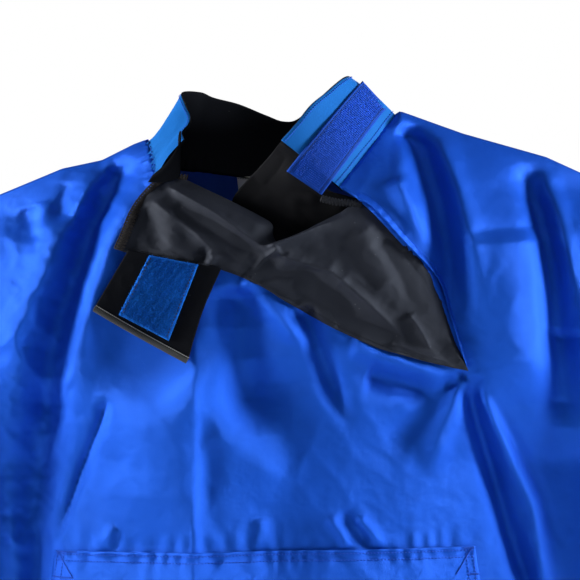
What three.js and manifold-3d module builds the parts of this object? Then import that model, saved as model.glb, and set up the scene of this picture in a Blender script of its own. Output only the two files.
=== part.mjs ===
// Kayak paddling jacket (spray top) as it hangs, millimetres, +Z up, front towards -Y.
// The origin is the middle of the neck base, where a hanger carries it.
import * as THREE from 'three';
import { mergeVertices } from 'three/addons/utils/BufferGeometryUtils.js';
import Module from 'manifold-3d';

const wasm = await Module();
wasm.setup();

// Body
const chestHalfWidth = 288;
const chestDepth = 70;
const hemDepth = 58;
const hemDrop = 650;
const shellCloth = 2;
const seamGap = 0.3;
// Shoulders: how fast they fall, and how much one side of the neck hangs above the other.
const neckHalfWidth = 106;
const neckHalfDepth = 45;
const shoulderSlope = 0.368;
const hangLean = 12;
const shoulderRounding = 100;
// Armholes and sleeves
const armpitDrop = 290;
const armholeDepth = 42;
const upperArmDepth = 58;
const sleeveWall = 2.4;
const sleeveOutReach = 128;
const sleeveDrop = 605;
const wristHalfWidth = 52;
const wristDepth = 27;
const wristTilt = 0.14;
// Neoprene cuffs and waistband
const cuffLength = 62;
const cuffWall = 3.2;
const waistbandHeight = 52;
const waistbandWall = 3.2;
// Collar
const collarHeight = 58;
const collarWall = 3;
const hookStripThickness = 1.3;
const hookStripReach = 0.3;
const hookStripSpan = [0.25, 0.75];
// Neck gusset and its overlocked end
const gussetCloth = 0.8;
const gussetEdgeWidth = 7;
const gussetEdgeThickness = 1.8;
const slitMargin = 7;
// Turned-out end of the collar band with its loop pile patch
const tabRootX = -123.6;
const tabRootZ = -111.9;
const tabTurn = 0.51;
const tabLength = 55;
const tabRootWidth = 78;
const tabRootSlant = 25;
const tabEndWidth = 92;
const tabMargin = 18;
const tabThickness = 3;
const tabPatchWidth = 46;
const tabPatchThickness = 1.6;
const tabBindingWidth = 5;
const tabBindingThickness = 4;
// Front pouch pocket
const pocketMiddleX = -4;
const pocketAboveHem = 90;
const pocketHeight = 194;
const pocketTopHalfWidth = 181;
const pocketFlare = 28;
const pocketBulge = 20;
// Blank label in the back of the neck
const labelWidth = 26;
const labelHeight = 20;
const labelCloth = 0.8;
const labelGap = 1.1;
// Cuff closures
const cuffPatchLength = 44;
const cuffPatchHeight = 30;
const cuffPatchThickness = 1.2;
const cuffTabReach = 8;
const cuffTabThickness = 2.2;
const layerGap = 0.3;
const clothLapGap = 0.8;

const nylonBlue = { color: 0x1f57de, roughness: 0.36, metalness: 0 };
const collarBlue = { color: 0x1b74d6, roughness: 0.62, metalness: 0 };
const hookBlue = { color: 0x0d47b4, roughness: 0.7, metalness: 0 };
const loopBlue = { color: 0x0f5cc0, roughness: 0.92, metalness: 0 };
const gussetGrey = { color: 0x36383f, roughness: 0.5, metalness: 0 };
const edgeBrown = { color: 0x2a2628, roughness: 0.85, metalness: 0 };
const neopreneBlack = { color: 0x0b0d12, roughness: 0.75, metalness: 0 };
const bindingGrey = { color: 0x55565c, roughness: 0.8, metalness: 0 };
const labelWhite = { color: 0xe9e9e6, roughness: 0.7, metalness: 0 };

// A closed thin solid between two skins of one grid: skin 0 is the inner one, skin 1 the outer one.
function sheetSolid(skin, columns, rows, ring = false) {
  const across = ring ? columns : columns + 1;
  const positions = [];
  for (const side of [0, 1]) {
    for (let row = 0; row <= rows; row += 1) {
      for (let column = 0; column < across; column += 1) {
        positions.push(...skin(column / columns, row / rows, side));
      }
    }
  }
  const layer = across * (rows + 1);
  const at = (column, row, side) => side * layer + row * across + (column % across);
  const index = [];
  const quad = (a, b, c, d) => index.push(a, b, c, a, c, d);
  for (let column = 0; column < columns; column += 1) {
    const next = column + 1;
    for (let row = 0; row < rows; row += 1) {
      quad(at(column, row, 1), at(next, row, 1), at(next, row + 1, 1), at(column, row + 1, 1));
      quad(at(column, row, 0), at(column, row + 1, 0), at(next, row + 1, 0), at(next, row, 0));
    }
    quad(at(column, 0, 0), at(next, 0, 0), at(next, 0, 1), at(column, 0, 1));
    quad(at(column, rows, 1), at(next, rows, 1), at(next, rows, 0), at(column, rows, 0));
  }
  for (let row = 0; row < rows && !ring; row += 1) {
    const end = columns;
    quad(at(0, row, 1), at(0, row + 1, 1), at(0, row + 1, 0), at(0, row, 0));
    quad(at(end, row, 0), at(end, row + 1, 0), at(end, row + 1, 1), at(end, row, 1));
  }
  const geometry = new THREE.BufferGeometry();
  geometry.setAttribute('position', new THREE.Float32BufferAttribute(positions, 3));
  geometry.setIndex(index);
  return facingOut(geometry);
}

// Turns every face round if the solid is inside out.
function facingOut(geometry) {
  const place = geometry.getAttribute('position');
  const corner = (k) => new THREE.Vector3().fromBufferAttribute(place, geometry.index.getX(k));
  let volume = 0;
  for (let k = 0; k < geometry.index.count; k += 3) {
    volume += corner(k).dot(corner(k + 1).cross(corner(k + 2)));
  }
  if (volume < 0) {
    geometry.index.array.reverse();
  }
  geometry.computeVertexNormals();
  return geometry;
}

function toManifold(geometry) {
  const bare = geometry.clone();
  bare.deleteAttribute('normal');
  bare.deleteAttribute('uv');
  const merged = mergeVertices(bare);
  const vertProperties = new Float32Array(merged.getAttribute('position').array);
  const triVerts = new Uint32Array(merged.index.array);
  return new wasm.Manifold(new wasm.Mesh({ numProp: 3, vertProperties, triVerts }));
}

function fromManifold(solid) {
  const mesh = solid.getMesh();
  const geometry = new THREE.BufferGeometry();
  geometry.setAttribute('position', new THREE.Float32BufferAttribute(mesh.vertProperties, 3));
  geometry.setIndex([...mesh.triVerts]);
  geometry.computeVertexNormals();
  return geometry;
}

function cut(geometry, ...cutters) {
  let solid = toManifold(geometry);
  for (const cutter of cutters) {
    solid = solid.subtract(toManifold(cutter));
  }
  return fromManifold(solid);
}

function node(name, geometry, finish) {
  const mesh = new THREE.Mesh(geometry, new THREE.MeshStandardMaterial(finish));
  mesh.name = name;
  return mesh;
}

// Height of the shoulder line, and of the neck base between the shoulders.
function shoulderZ(x) {
  const lean = hangLean * THREE.MathUtils.clamp(x / neckHalfWidth, -1, 1);
  return lean - shoulderSlope * Math.max(0, Math.abs(x) - neckHalfWidth);
}

function armhole(side) {
  const tip = shoulderZ(side * chestHalfWidth);
  return { tip, middle: (tip - armpitDrop) / 2, half: (tip + armpitDrop) / 2 };
}

// Half the depth of the body's inside at a point of the front view.
function halfDepth(x, z) {
  const below = (shoulderZ(x) - z) / shoulderRounding;
  const rise = below < 1 ? 1 - (1 - below) ** 2 : 1;
  const centre = THREE.MathUtils.lerp(chestDepth, hemDepth, -z / hemDrop);
  const across = (x / chestHalfWidth) ** 2;
  const hole = armhole(Math.sign(x) || 1);
  const open = Math.max(0, 1 - ((z - hole.middle) / hole.half) ** 2);
  return armholeDepth * open * across + centre * rise * (1 - across);
}

// A point that stands a distance in front of (side -1) or behind (side 1) the inside of the body.
function onBody(x, z, side, distance) {
  return [x, side * (seamGap / 2 + halfDepth(x, z) + distance), z];
}

function bodyPanel(side) {
  const skin = (u, v, out) => {
    const x = THREE.MathUtils.lerp(-chestHalfWidth, chestHalfWidth, u);
    const z = THREE.MathUtils.lerp(shoulderZ(x), -hemDrop, v ** 1.8);
    return onBody(x, z, side, out * shellCloth);
  };
  return sheetSolid(skin, 26, 22);
}

// Plan of the collar's seam from its closing end round the back to its free end.
const collarSeam = [
  [0.453, -1.36], [0.755, -1.09], [0.981, -0.62], [1.057, 0], [0.915, 0.56], [0.547, 0.89],
  [0.075, 1], [-0.396, 0.93], [-0.792, 0.6], [-1.009, 0], [-1, -0.4], [-0.925, -0.78],
].map(([x, y]) => [x * neckHalfWidth, y * neckHalfDepth]);
// How far the top edge leans in from the seam, and its height over the mean height.
const collarLean = [
  [-36, -15, 0.82], [-38, -12, 0.74], [-40, -6, 0.72], [-38, 0, 0.6], [-32, 2, 0.7], [-14, 0, 0.68],
  [0, 2, 0.66], [5, 1, 0.88], [16, 0, 1], [26, 0, 0.72], [27, 2, 0.68], [24, 4, 0.57],
];

function seamZ(x, y) {
  let high = shoulderZ(x);
  let low = high - shoulderRounding;
  for (let step = 0; step < 30; step += 1) {
    const z = (high + low) / 2;
    if (halfDepth(x, z) + seamGap / 2 < Math.abs(y)) {
      high = z;
    } else {
      low = z;
    }
  }
  return high;
}

const collarBase = new THREE.CatmullRomCurve3(
  collarSeam.map(([x, y]) => new THREE.Vector3(x, y, seamZ(x, y))),
);
const collarTop = new THREE.CatmullRomCurve3(
  collarSeam.map(([x, y], k) => {
    const [inX, inY, rise] = collarLean[k];
    return new THREE.Vector3(x + inX, y + inY, seamZ(x, y) + rise * collarHeight);
  }),
);

// A point a distance outside the middle of the collar band: u along it, v up it.
function onCollar(u, v, distance) {
  const place = (s, t) => collarBase.getPoint(s).lerp(collarTop.getPoint(s), t);
  const step = 0.004;
  const from = Math.min(u, 1 - step);
  const along = place(from + step, v).sub(place(from, v));
  const up = collarTop.getPoint(u).sub(collarBase.getPoint(u));
  const out = along.cross(up).normalize();
  return place(u, v).addScaledVector(out, distance);
}

function collarSheet([startU, endU], [startV, endV], near, far, columns) {
  const skin = (u, v, out) => {
    const s = THREE.MathUtils.lerp(startU, endU, u);
    const t = THREE.MathUtils.lerp(startV, endV, v);
    return onCollar(s, t, out ? far : near).toArray();
  };
  return sheetSolid(skin, columns, 4);
}

// The space that the collar stands in, as a prism along Z.
function neckCutter() {
  const outline = new THREE.Shape();
  const reach = collarWall / 2 + layerGap;
  const count = 40;
  const points = [];
  for (let k = 0; k <= count; k += 1) {
    const tangent = collarBase.getTangent(k / count);
    const along = new THREE.Vector2(tangent.x, tangent.y).normalize();
    const base = collarBase.getPoint(k / count);
    const past = k === count ? reach : -reach * (k === 0);
    const point = new THREE.Vector2(base.x + along.y * reach, base.y - along.x * reach);
    points.push(point.addScaledVector(along, past));
  }
  outline.setFromPoints(points);
  const prism = new THREE.ExtrudeGeometry(outline, { depth: 160, bevelEnabled: false });
  return prism.translate(0, 0, -82);
}

// Front view of the gusset: its upper fold and its lower edge, from the overlocked end to the tip.
const gussetUpper = [
  [-88, -52], [-40, -72], [2, -88], [54, -80], [84, -72], [110, -97], [143, -139], [168, -206],
];
const gussetLower = [
  [-128, -108], [-102, -112], [-52, -122], [-22, -136], [12, -158], [47, -176], [89, -190], [165, -211],
];

function alongOutline(points, u) {
  const reach = u * (points.length - 1);
  const k = Math.min(Math.floor(reach), points.length - 2);
  const from = new THREE.Vector2(...points[k]);
  return from.lerp(new THREE.Vector2(...points[k + 1]), reach - k);
}

function gusset() {
  const near = shellCloth + clothLapGap;
  const skin = (u, v, out) => {
    const { x, y } = alongOutline(gussetUpper, u).lerp(alongOutline(gussetLower, u), v);
    return onBody(x, y, -1, near + out * gussetCloth);
  };
  return sheetSolid(skin, (gussetUpper.length - 1) * 3, 6);
}

function gussetEdge() {
  const near = shellCloth + clothLapGap;
  const top = new THREE.Vector2(...gussetUpper[0]);
  const bottom = new THREE.Vector2(...gussetLower[0]);
  const away = new THREE.Vector2(bottom.y - top.y, top.x - bottom.x).normalize();
  const skin = (u, v, out) => {
    const from = top.clone().lerp(bottom, v);
    from.addScaledVector(away, layerGap + u * gussetEdgeWidth);
    return onBody(from.x, from.y, -1, near + out * gussetEdgeThickness);
  };
  return sheetSolid(skin, 1, 5);
}

// The open slit under the gusset, drawn in from the gusset's edges by the lap they keep.
function slitCutter() {
  const lower = gussetLower.slice(2).map((point) => new THREE.Vector2(...point));
  const upper = gussetUpper.slice(3).map((point) => new THREE.Vector2(...point));
  const ring = [...lower, ...upper.reverse()];
  const middle = new THREE.Vector2(30, -118);
  const inset = ring.map((point) => {
    const inward = middle.clone().sub(point).normalize();
    return point.clone().addScaledVector(inward, slitMargin * 1.4);
  });
  const open = [new THREE.Vector2(40, -35), new THREE.Vector2(-72, -35)];
  const outline = new THREE.Shape([...inset, ...open]);
  const prism = new THREE.ExtrudeGeometry(outline, { depth: 140, bevelEnabled: false });
  return prism.rotateX(Math.PI / 2).translate(0, -0.1, 0);
}

function pocket() {
  const near = shellCloth + layerGap;
  const skin = (u, v, out) => {
    const z = (1 - v) * pocketHeight + pocketAboveHem - hemDrop;
    const halfWidth = pocketTopHalfWidth + pocketFlare * v;
    const x = pocketMiddleX + THREE.MathUtils.lerp(-halfWidth, halfWidth, u);
    const lift = pocketBulge * Math.min(1, 5 * Math.min(v, 1 - v));
    return onBody(x, z, -1, near + lift + out * shellCloth);
  };
  return sheetSolid(skin, 14, 10);
}

function neckLabel() {
  const top = seamZ(-22, collarSeam[6][1]) - 10;
  const skin = (u, v, out) => {
    const x = -22 + (u - 0.5) * labelWidth;
    return onBody(x, top - v * labelHeight, 1, -labelGap - (1 - out) * labelCloth);
  };
  return sheetSolid(skin, 2, 4);
}

// Top and bottom lines of a sleeve, from the armhole to the wrist.
function sleeveLines(side) {
  const { tip } = armhole(side);
  const startX = chestHalfWidth + layerGap;
  const wristX = startX + sleeveOutReach - 10;
  const outX = wristX + wristHalfWidth * Math.cos(wristTilt);
  const inX = wristX - wristHalfWidth * Math.cos(wristTilt);
  const fall = wristHalfWidth * Math.sin(wristTilt);
  const point = (x, z) => new THREE.Vector3(side * x, 0, z);
  const top = new THREE.CubicBezierCurve3(
    point(startX, tip), point(startX + 62, tip - 34),
    point(outX - 36, -sleeveDrop / 2), point(outX, -sleeveDrop + fall),
  );
  const bottom = new THREE.CubicBezierCurve3(
    point(startX, -armpitDrop), point(startX + 34, -armpitDrop - 34),
    point(inX + 6, -sleeveDrop * 0.72), point(inX, -sleeveDrop - fall),
  );
  return { top, bottom };
}

// A point of a flattened tube round the middle of two lines; a point's shape goes from lens to oval.
function onTube(top, bottom, turn, depth, wall, oval) {
  const middle = top.clone().add(bottom).multiplyScalar(0.5);
  const half = top.clone().sub(bottom).multiplyScalar(0.5);
  const shrink = 1 - (wall * (2 - oval)) / half.length();
  const across = Math.cos(turn) * shrink;
  const swell = Math.sign(Math.sin(turn)) * Math.abs(Math.sin(turn)) ** (2 - oval);
  return middle.addScaledVector(half, across).setY((depth - wall) * swell);
}

function sleeveDepthAt(v) {
  const stations = [armholeDepth + shellCloth, upperArmDepth, upperArmDepth - 10, wristDepth + 6, wristDepth];
  return alongOutline(stations.map((depth, k) => [k, depth]), v).y;
}

function sleeve(side) {
  const { top, bottom } = sleeveLines(side);
  const skin = (u, v, out) => {
    const wall = out ? 0 : sleeveWall;
    const turn = u * 2 * Math.PI;
    return onTube(top.getPoint(v), bottom.getPoint(v), turn, sleeveDepthAt(v), wall, v).toArray();
  };
  return sheetSolid(skin, 22, 12, true);
}

// Frame of a cuff: its upper rim's two ends and the way down the arm.
function cuffFrame(side) {
  const { top, bottom } = sleeveLines(side);
  const outer = top.getPoint(1);
  const inner = bottom.getPoint(1);
  const down = outer.clone().sub(inner).normalize().cross(new THREE.Vector3(0, -side, 0));
  return { outer, inner, down };
}

function cuff(side) {
  const { outer, inner, down } = cuffFrame(side);
  const skin = (u, v, out) => {
    const travel = layerGap + v * cuffLength;
    const wall = out ? 0 : cuffWall;
    const top = outer.clone().addScaledVector(down, travel);
    const bottom = inner.clone().addScaledVector(down, travel);
    return onTube(top, bottom, u * 2 * Math.PI, wristDepth, wall, 1).toArray();
  };
  return sheetSolid(skin, 28, 2, true);
}

// A group that lies flat on the cuff's front: X across the wrist, Y up the arm, Z straight out.
function cuffFront(side) {
  const { outer, inner, down } = cuffFrame(side);
  const across = outer.clone().sub(inner).normalize().multiplyScalar(side);
  const out = new THREE.Vector3(0, -1, 0);
  const basis = new THREE.Matrix4().makeBasis(across, out.clone().cross(across), out);
  const middle = outer.clone().add(inner).multiplyScalar(0.5);
  middle.addScaledVector(down, layerGap + cuffLength / 2).setY(-wristDepth);
  const group = new THREE.Group();
  group.name = side > 0 ? 'left_cuff_closure' : 'right_cuff_closure';
  group.quaternion.setFromRotationMatrix(basis);
  group.position.copy(middle);
  return group;
}

function slab(width, height, thickness, base) {
  const box = new THREE.BoxGeometry(width, height, thickness);
  return box.translate(0, 0, base + thickness / 2);
}

// The tab reaches past its hook patch and steps down to the cuff at its sewn end.
function cuffTab() {
  const half = cuffPatchLength / 2;
  const base = 3 * layerGap + 2 * cuffPatchThickness;
  const top = base + cuffTabThickness;
  const root = half + cuffTabReach;
  const profile = new THREE.Shape();
  profile.moveTo(-half, base);
  profile.lineTo(half + layerGap, base);
  profile.lineTo(half + layerGap, layerGap);
  profile.lineTo(root, layerGap);
  profile.lineTo(root, top);
  profile.lineTo(-half, top);
  const height = cuffPatchHeight + 4;
  const geometry = new THREE.ExtrudeGeometry(profile, { depth: height, bevelEnabled: false });
  return geometry.translate(0, 0, -height / 2).rotateX(Math.PI / 2);
}

function cuffClosure(side, word) {
  const group = cuffFront(side);
  const loop = slab(cuffPatchLength, cuffPatchHeight, cuffPatchThickness, layerGap);
  const hookBase = 2 * layerGap + cuffPatchThickness;
  const hook = slab(cuffPatchLength - 4, cuffPatchHeight - 2, cuffPatchThickness, hookBase);
  const tab = cuffTab();
  if (side < 0) {
    tab.rotateZ(Math.PI);
  }
  group.add(
    node(`${word}_cuff_loop`, loop, loopBlue),
    node(`${word}_cuff_hook`, hook, hookBlue),
    node(`${word}_cuff_tab`, tab, neopreneBlack),
  );
  return group;
}

function waistband() {
  const band = (travel) => -hemDrop - layerGap - travel * waistbandHeight;
  const skin = (u, v, out) => {
    const z = band(v);
    const top = new THREE.Vector3(chestHalfWidth, 0, z);
    const bottom = new THREE.Vector3(-chestHalfWidth, 0, z);
    const depth = hemDepth + shellCloth + seamGap / 2;
    return onTube(top, bottom, u * 2 * Math.PI, depth, out ? 0 : waistbandWall, 0).toArray();
  };
  return sheetSolid(skin, 36, 2, true);
}

// Outlines on the turned-out collar end: X across the band, Y down it from the root's high corner.
const tabOutline = [
  [0, 0], [tabRootWidth, -tabRootSlant], [tabEndWidth, tabLength], [0, tabLength],
];
const tabPatchOutline = [
  [tabMargin, -6], [tabMargin + tabPatchWidth - 4, -18],
  [tabMargin + tabPatchWidth + 4, tabLength - 5], [tabMargin, tabLength - 6],
];

// A flat frame that touches the front of the chest at a point: X as given, Z straight out.
function chestFrame(x, z, acrossX, acrossZ) {
  const near = shellCloth + layerGap;
  const touch = (dx, dz) => new THREE.Vector3(...onBody(x + dx, z + dz, -1, near));
  const sideways = touch(1, 0).sub(touch(-1, 0)).normalize();
  const upwards = touch(0, 1).sub(touch(0, -1)).normalize();
  const across = sideways.clone().multiplyScalar(acrossX).addScaledVector(upwards, acrossZ);
  const out = sideways.clone().cross(upwards).normalize();
  const frame = new THREE.Matrix4().makeBasis(across.normalize(), out.clone().cross(across), out);
  return frame.setPosition(touch(0, 0));
}

function flatOutline(points, thickness, base) {
  const shape = new THREE.Shape(points.map(([x, y]) => new THREE.Vector2(x, -y)));
  const geometry = new THREE.ExtrudeGeometry(shape, { depth: thickness, bevelEnabled: false });
  return geometry.translate(0, 0, base);
}

function collarTab() {
  const group = new THREE.Group();
  group.name = 'collar_tab_group';
  const middle = [tabRootWidth * 0.55, tabLength * 0.4];
  const [cosTurn, sinTurn] = [Math.cos(tabTurn), Math.sin(tabTurn)];
  const middleX = tabRootX + middle[0] * cosTurn - middle[1] * sinTurn;
  const middleZ = tabRootZ - middle[0] * sinTurn - middle[1] * cosTurn;
  const frame = chestFrame(middleX, middleZ, cosTurn, -sinTurn);
  frame.multiply(new THREE.Matrix4().makeTranslation(-middle[0], middle[1], 0));
  frame.decompose(group.position, group.quaternion, group.scale);
  const tab = flatOutline(tabOutline, tabThickness, 0);
  const patch = flatOutline(tabPatchOutline, tabPatchThickness, tabThickness + layerGap);
  const bindingTop = tabLength + layerGap;
  const bindingOutline = [
    [0, bindingTop], [tabEndWidth, bindingTop],
    [tabEndWidth, bindingTop + tabBindingWidth], [0, bindingTop + tabBindingWidth],
  ];
  group.add(
    node('collar_tab', tab, neopreneBlack),
    node('tab_loop_patch', patch, loopBlue),
    node('tab_end_binding', flatOutline(bindingOutline, tabBindingThickness, 0), bindingGrey),
  );
  return group;
}

const collarHalf = collarWall / 2;
const stripNear = collarHalf + clothLapGap;
const jacket = new THREE.Group();
jacket.name = 'kayak_paddling_jacket';
jacket.add(
  node('front_panel', cut(bodyPanel(-1), neckCutter(), slitCutter()), nylonBlue),
  node('back_panel', cut(bodyPanel(1), neckCutter()), nylonBlue),
  node('left_sleeve', sleeve(1), nylonBlue),
  node('right_sleeve', sleeve(-1), nylonBlue),
  node('left_cuff', cuff(1), neopreneBlack),
  node('right_cuff', cuff(-1), neopreneBlack),
  node('waistband', waistband(), neopreneBlack),
  node('collar_band', collarSheet([0, 1], [0, 1], -collarHalf, collarHalf, 60), collarBlue),
  node(
    'hook_strip',
    collarSheet([0, hookStripReach], hookStripSpan, stripNear, stripNear + hookStripThickness, 18),
    hookBlue,
  ),
  node('neck_gusset', gusset(), gussetGrey),
  node('gusset_edge', gussetEdge(), edgeBrown),
  node('neck_label', neckLabel(), labelWhite),
  node('pocket_panel', pocket(), nylonBlue),
  collarTab(),
  cuffClosure(1, 'left'),
  cuffClosure(-1, 'right'),
);

export default jacket;
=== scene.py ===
"""A kayak paddling jacket hanging open at the neck, with its collar end turned out.

Every length inside the shape functions is in millimetres; meshes are made in metres.
+X is the wearer's left, the front faces -Y and +Z is up.
"""

import math

import bpy
import numpy as np
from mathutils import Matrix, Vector


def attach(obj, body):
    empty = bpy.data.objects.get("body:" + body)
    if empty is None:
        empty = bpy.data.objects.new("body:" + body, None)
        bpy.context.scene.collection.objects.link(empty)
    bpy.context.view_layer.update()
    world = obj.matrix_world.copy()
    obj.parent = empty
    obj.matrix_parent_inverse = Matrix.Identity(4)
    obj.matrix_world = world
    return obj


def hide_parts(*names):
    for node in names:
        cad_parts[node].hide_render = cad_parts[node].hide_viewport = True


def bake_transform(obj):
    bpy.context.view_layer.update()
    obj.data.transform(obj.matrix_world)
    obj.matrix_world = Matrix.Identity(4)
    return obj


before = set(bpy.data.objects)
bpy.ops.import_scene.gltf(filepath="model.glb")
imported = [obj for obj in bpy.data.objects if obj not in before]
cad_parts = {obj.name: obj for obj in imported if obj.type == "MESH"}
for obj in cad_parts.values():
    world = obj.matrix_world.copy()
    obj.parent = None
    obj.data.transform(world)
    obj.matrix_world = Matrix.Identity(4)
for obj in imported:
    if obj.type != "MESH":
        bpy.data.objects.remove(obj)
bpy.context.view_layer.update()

bl_info = {
    "name": "Paddling Jacket",
    "version": (1, 0, 0),
    "blender": (4, 5, 0),
    "location": "3D View > Sidebar > Jacket",
    "description": "Builds a paddling jacket with an open neck, a gusset and a chest pocket",
    "category": "Object",
}

MM = 0.001

# Body
CHEST_HALF = 288.0
CHEST_DEPTH = 70.0
HEM_DEPTH = 58.0
HEM_DROP = 650.0
ARMHOLE_DROP = 290.0
ARMHOLE_DEPTH = 42.0
TIP_LEFT = -54.98
TIP_RIGHT = -78.98

# The line of the shoulders, from the wearer's right to left
SHOULDER_X = (-288, -237, -183, -148, -120, -104, 0, 104, 113.5, 125, 141.6, 168.8, 241.7, 271.5, 288)
SHOULDER_Z = (-79, -58, -35.5, -28, -14, -8, -2, 9, 15, 11, 5, -4.7, -25.3, -38.9, -48)

# The neck hole and slit in the front, seen from the front: x, z
FRONT_HOLE = (
    (-108, -14), (-102, -31), (-99, -45), (-89, -57), (-59, -95), (-8, -118), (51, -155), (110, -180),
    (144, -193), (159, -198), (154, -176), (145, -150), (135, -127), (113, -104), (87, -76), (73, -63),
    (59, -54), (70, -40), (78, -30), (92, -12), (101, 2), (108, 11), (108, 60), (-108, 60),
)
SLIT_EDGE = (
    (74, -63), (88, -71), (115, -101), (137, -123), (147, -138), (154, -163), (161, -187), (168, -208),
)

# How strongly the tables of folds show on the front and on the back
FRONT_FOLD_STRENGTH = 1.7
BACK_FOLD_STRENGTH = 1.9

# Folds of the front: height, width, kind (1 sharp, 2 soft), points x, z
FRONT_FOLDS = (
    (8.5, 60, 1, ((-64, -150), (-63, -260), (-65, -380), (-62, -500))),
    (-5, 40, 2, ((4, -200), (10, -300), (12, -420), (10, -500))),
    (-12, 14, 2, ((-129, -23), (-132, -36), (-139, -64), (-153, -91), (-169, -136), (-180, -167),
                 (-190, -201), (-194, -229), (-192, -257))),
    (5, 15, 2, ((-177, -78), (-194, -118), (-204, -150), (-219, -184), (-224, -218))),
    (6, 13, 2, ((-126, -57), (-136, -95), (-146, -130), (-157, -180), (-165, -229))),
    (-12, 17, 2, ((-190, -218), (-199, -278), (-204, -332), (-202, -388), (-199, -456), (-196, -541))),
    (-5, 7, 1, ((-139, -235), (-146, -256), (-162, -295), (-175, -333), (-185, -360))),
    (6, 42, 2, ((-102, -193), (-101, -252), (-104, -303), (-105, -359))),
    (-4, 13, 2, ((-57, -176), (-58, -235), (-56, -295), (-54, -354))),
    (-10, 24, 2, ((-29, -138), (-26, -184), (-22, -235), (-17, -269))),
    (4, 20, 2, ((-75, -214), (-52, -240), (-26, -269), (14, -315))),
    (5, 9, 2, ((-26, -133), (-7, -150), (17, -174), (36, -191))),
    (-6, 9, 2, ((26, -155), (41, -193), (53, -223), (65, -251))),
    (4, 9, 2, ((68, -189), (98, -200), (128, -210), (153, -218))),
    (-6, 11, 2, ((82, -215), (110, -222), (141, -229))),
    (-9, 9, 2, ((171, -215), (175, -240), (181, -263), (196, -314), (208, -354), (220, -388), (234, -439))),
    (6, 9, 2, ((176, -220), (189, -248), (204, -282), (218, -308), (228, -331), (236, -388), (243, -439))),
    (-3, 6, 2, ((181, -222), (200, -257), (220, -290), (236, -323), (248, -371))),
    (-3, 5, 2, ((167, -213), (157, -220), (148, -227))),
    (-3, 13, 2, ((163, -218), (132, -246), (100, -280))),
    (3, 10, 2, ((167, -215), (151, -252), (136, -303))),
    (2.2, 5, 2, ((51, -336), (61, -351), (71, -363))),
    (2.2, 5, 2, ((75, -336), (87, -350), (100, -363))),
    (-2, 6, 2, ((63, -331), (75, -348), (85, -363))),
    (1.8, 6, 2, ((-8, -337), (-7, -351), (-7, -363))),
    (2.0, 5, 2, ((-134, -344), (-141, -356), (-144, -365))),
    (-12, 15, 2, ((113, 6), (132, -22), (145, -68), (154, -121), (159, -174))),
    (3.5, 9, 2, ((107, -45), (121, -70), (132, -95), (144, -113))),
    (4, 12, 2, ((144, -8), (160, -57), (170, -108), (175, -159))),
    (-10, 12, 2, ((224, -30), (233, -72), (242, -121), (246, -174), (249, -235))),
    (5, 11, 2, ((241, -36), (248, -70), (253, -104), (260, -150))),
    (-6, 15, 2, ((258, -176), (255, -218), (253, -261))),
    (7, 34, 2, ((206, -90), (212, -160), (216, -240))),
    (4, 14, 2, ((272, -65), (278, -150), (276, -235), (272, -320), (269, -388))),
    (-3, 9, 2, ((-212, -70), (-209, -84), (-204, -104))),
    (2.5, 8, 2, ((-197, -65), (-196, -78), (-192, -98))),
    (-3, 8, 2, ((-178, -47), (-180, -65), (-185, -84))),
    (3, 10, 2, ((-158, -37), (-160, -57), (-167, -78))),
    (-6, 12, 2, ((-250, -300), (-236, -380), (-226, -470), (-222, -600))),
    (5, 18, 2, ((-150, -420), (-146, -500), (-150, -640))),
    (-2.5, 18, 2, ((60, -570), (64, -600), (66, -648))),
    (2.5, 18, 2, ((-60, -570), (-58, -610), (-62, -648))),
    (-2.5, 18, 2, ((150, -572), (154, -610), (150, -648))),
)
BACK_FOLDS = (
    (6, 26, 2, ((-190, -60), (-170, -180), (-176, -320), (-182, -640))),
    (-7, 20, 2, ((-120, -30), (-96, -160), (-104, -320), (-110, -640))),
    (6, 30, 2, ((-40, -120), (-30, -260), (-34, -440), (-30, -640))),
    (-6, 22, 2, ((40, -110), (52, -260), (46, -440), (50, -640))),
    (7, 26, 2, ((130, -30), (118, -180), (124, -340), (128, -640))),
    (-7, 20, 2, ((210, -60), (196, -200), (204, -360), (206, -640))),
    (-5, 12, 2, ((-250, -120), (-200, -110), (-150, -130))),
    (5, 12, 2, ((-240, -150), (-190, -142), (-140, -160))),
    (-5, 12, 2, ((240, -110), (190, -104), (140, -120))),
    (5, 12, 2, ((250, -140), (200, -136), (150, -150))),
    (4, 10, 2, ((-80, -70), (0, -84), (80, -66))),
    (-4, 12, 2, ((-70, -90), (0, -106), (70, -88))),
)

# The seam of the collar round the neck, and its upper edge: x, z of the seam; x, y, z of the edge
COLLAR_SEAM = (
    (59, -54, -1), (67, -44, -1), (78, -30, -1), (92, -12, -1), (101, 1, -1), (109, 11, -1),
    (106, 9, 1), (82, -3, 1), (44, -23, 1), (17, -33, 1), (-12, -39, 1), (-38, -36, 1),
    (-61, -33, 1), (-80, -31, 1), (-99, -22, 1), (-109, -14, 1), (-106, -23, -1), (-103, -33, -1),
    (-101, -40, -1), (-99, -46, -1),
)
COLLAR_EDGE = (
    (9.5, -70, -15), (22, -68, -1), (35.5, -61, 16), (49, -49, 28), (61, -35, 39), (68.5, -18, 44),
    (63, 0, 44), (48.5, 16, 33), (26, 34, 12), (11.5, 42, 9), (-5, 45, 15), (-29, 47, 24.5),
    (-51.5, 44, 30), (-64.5, 38, 35), (-79, 20, 33), (-75, 0, 20), (-70.5, -12, 10.5), (-71, -22, 3),
    (-76.5, -30, -5), (-74.5, -38, -12),
)

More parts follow.
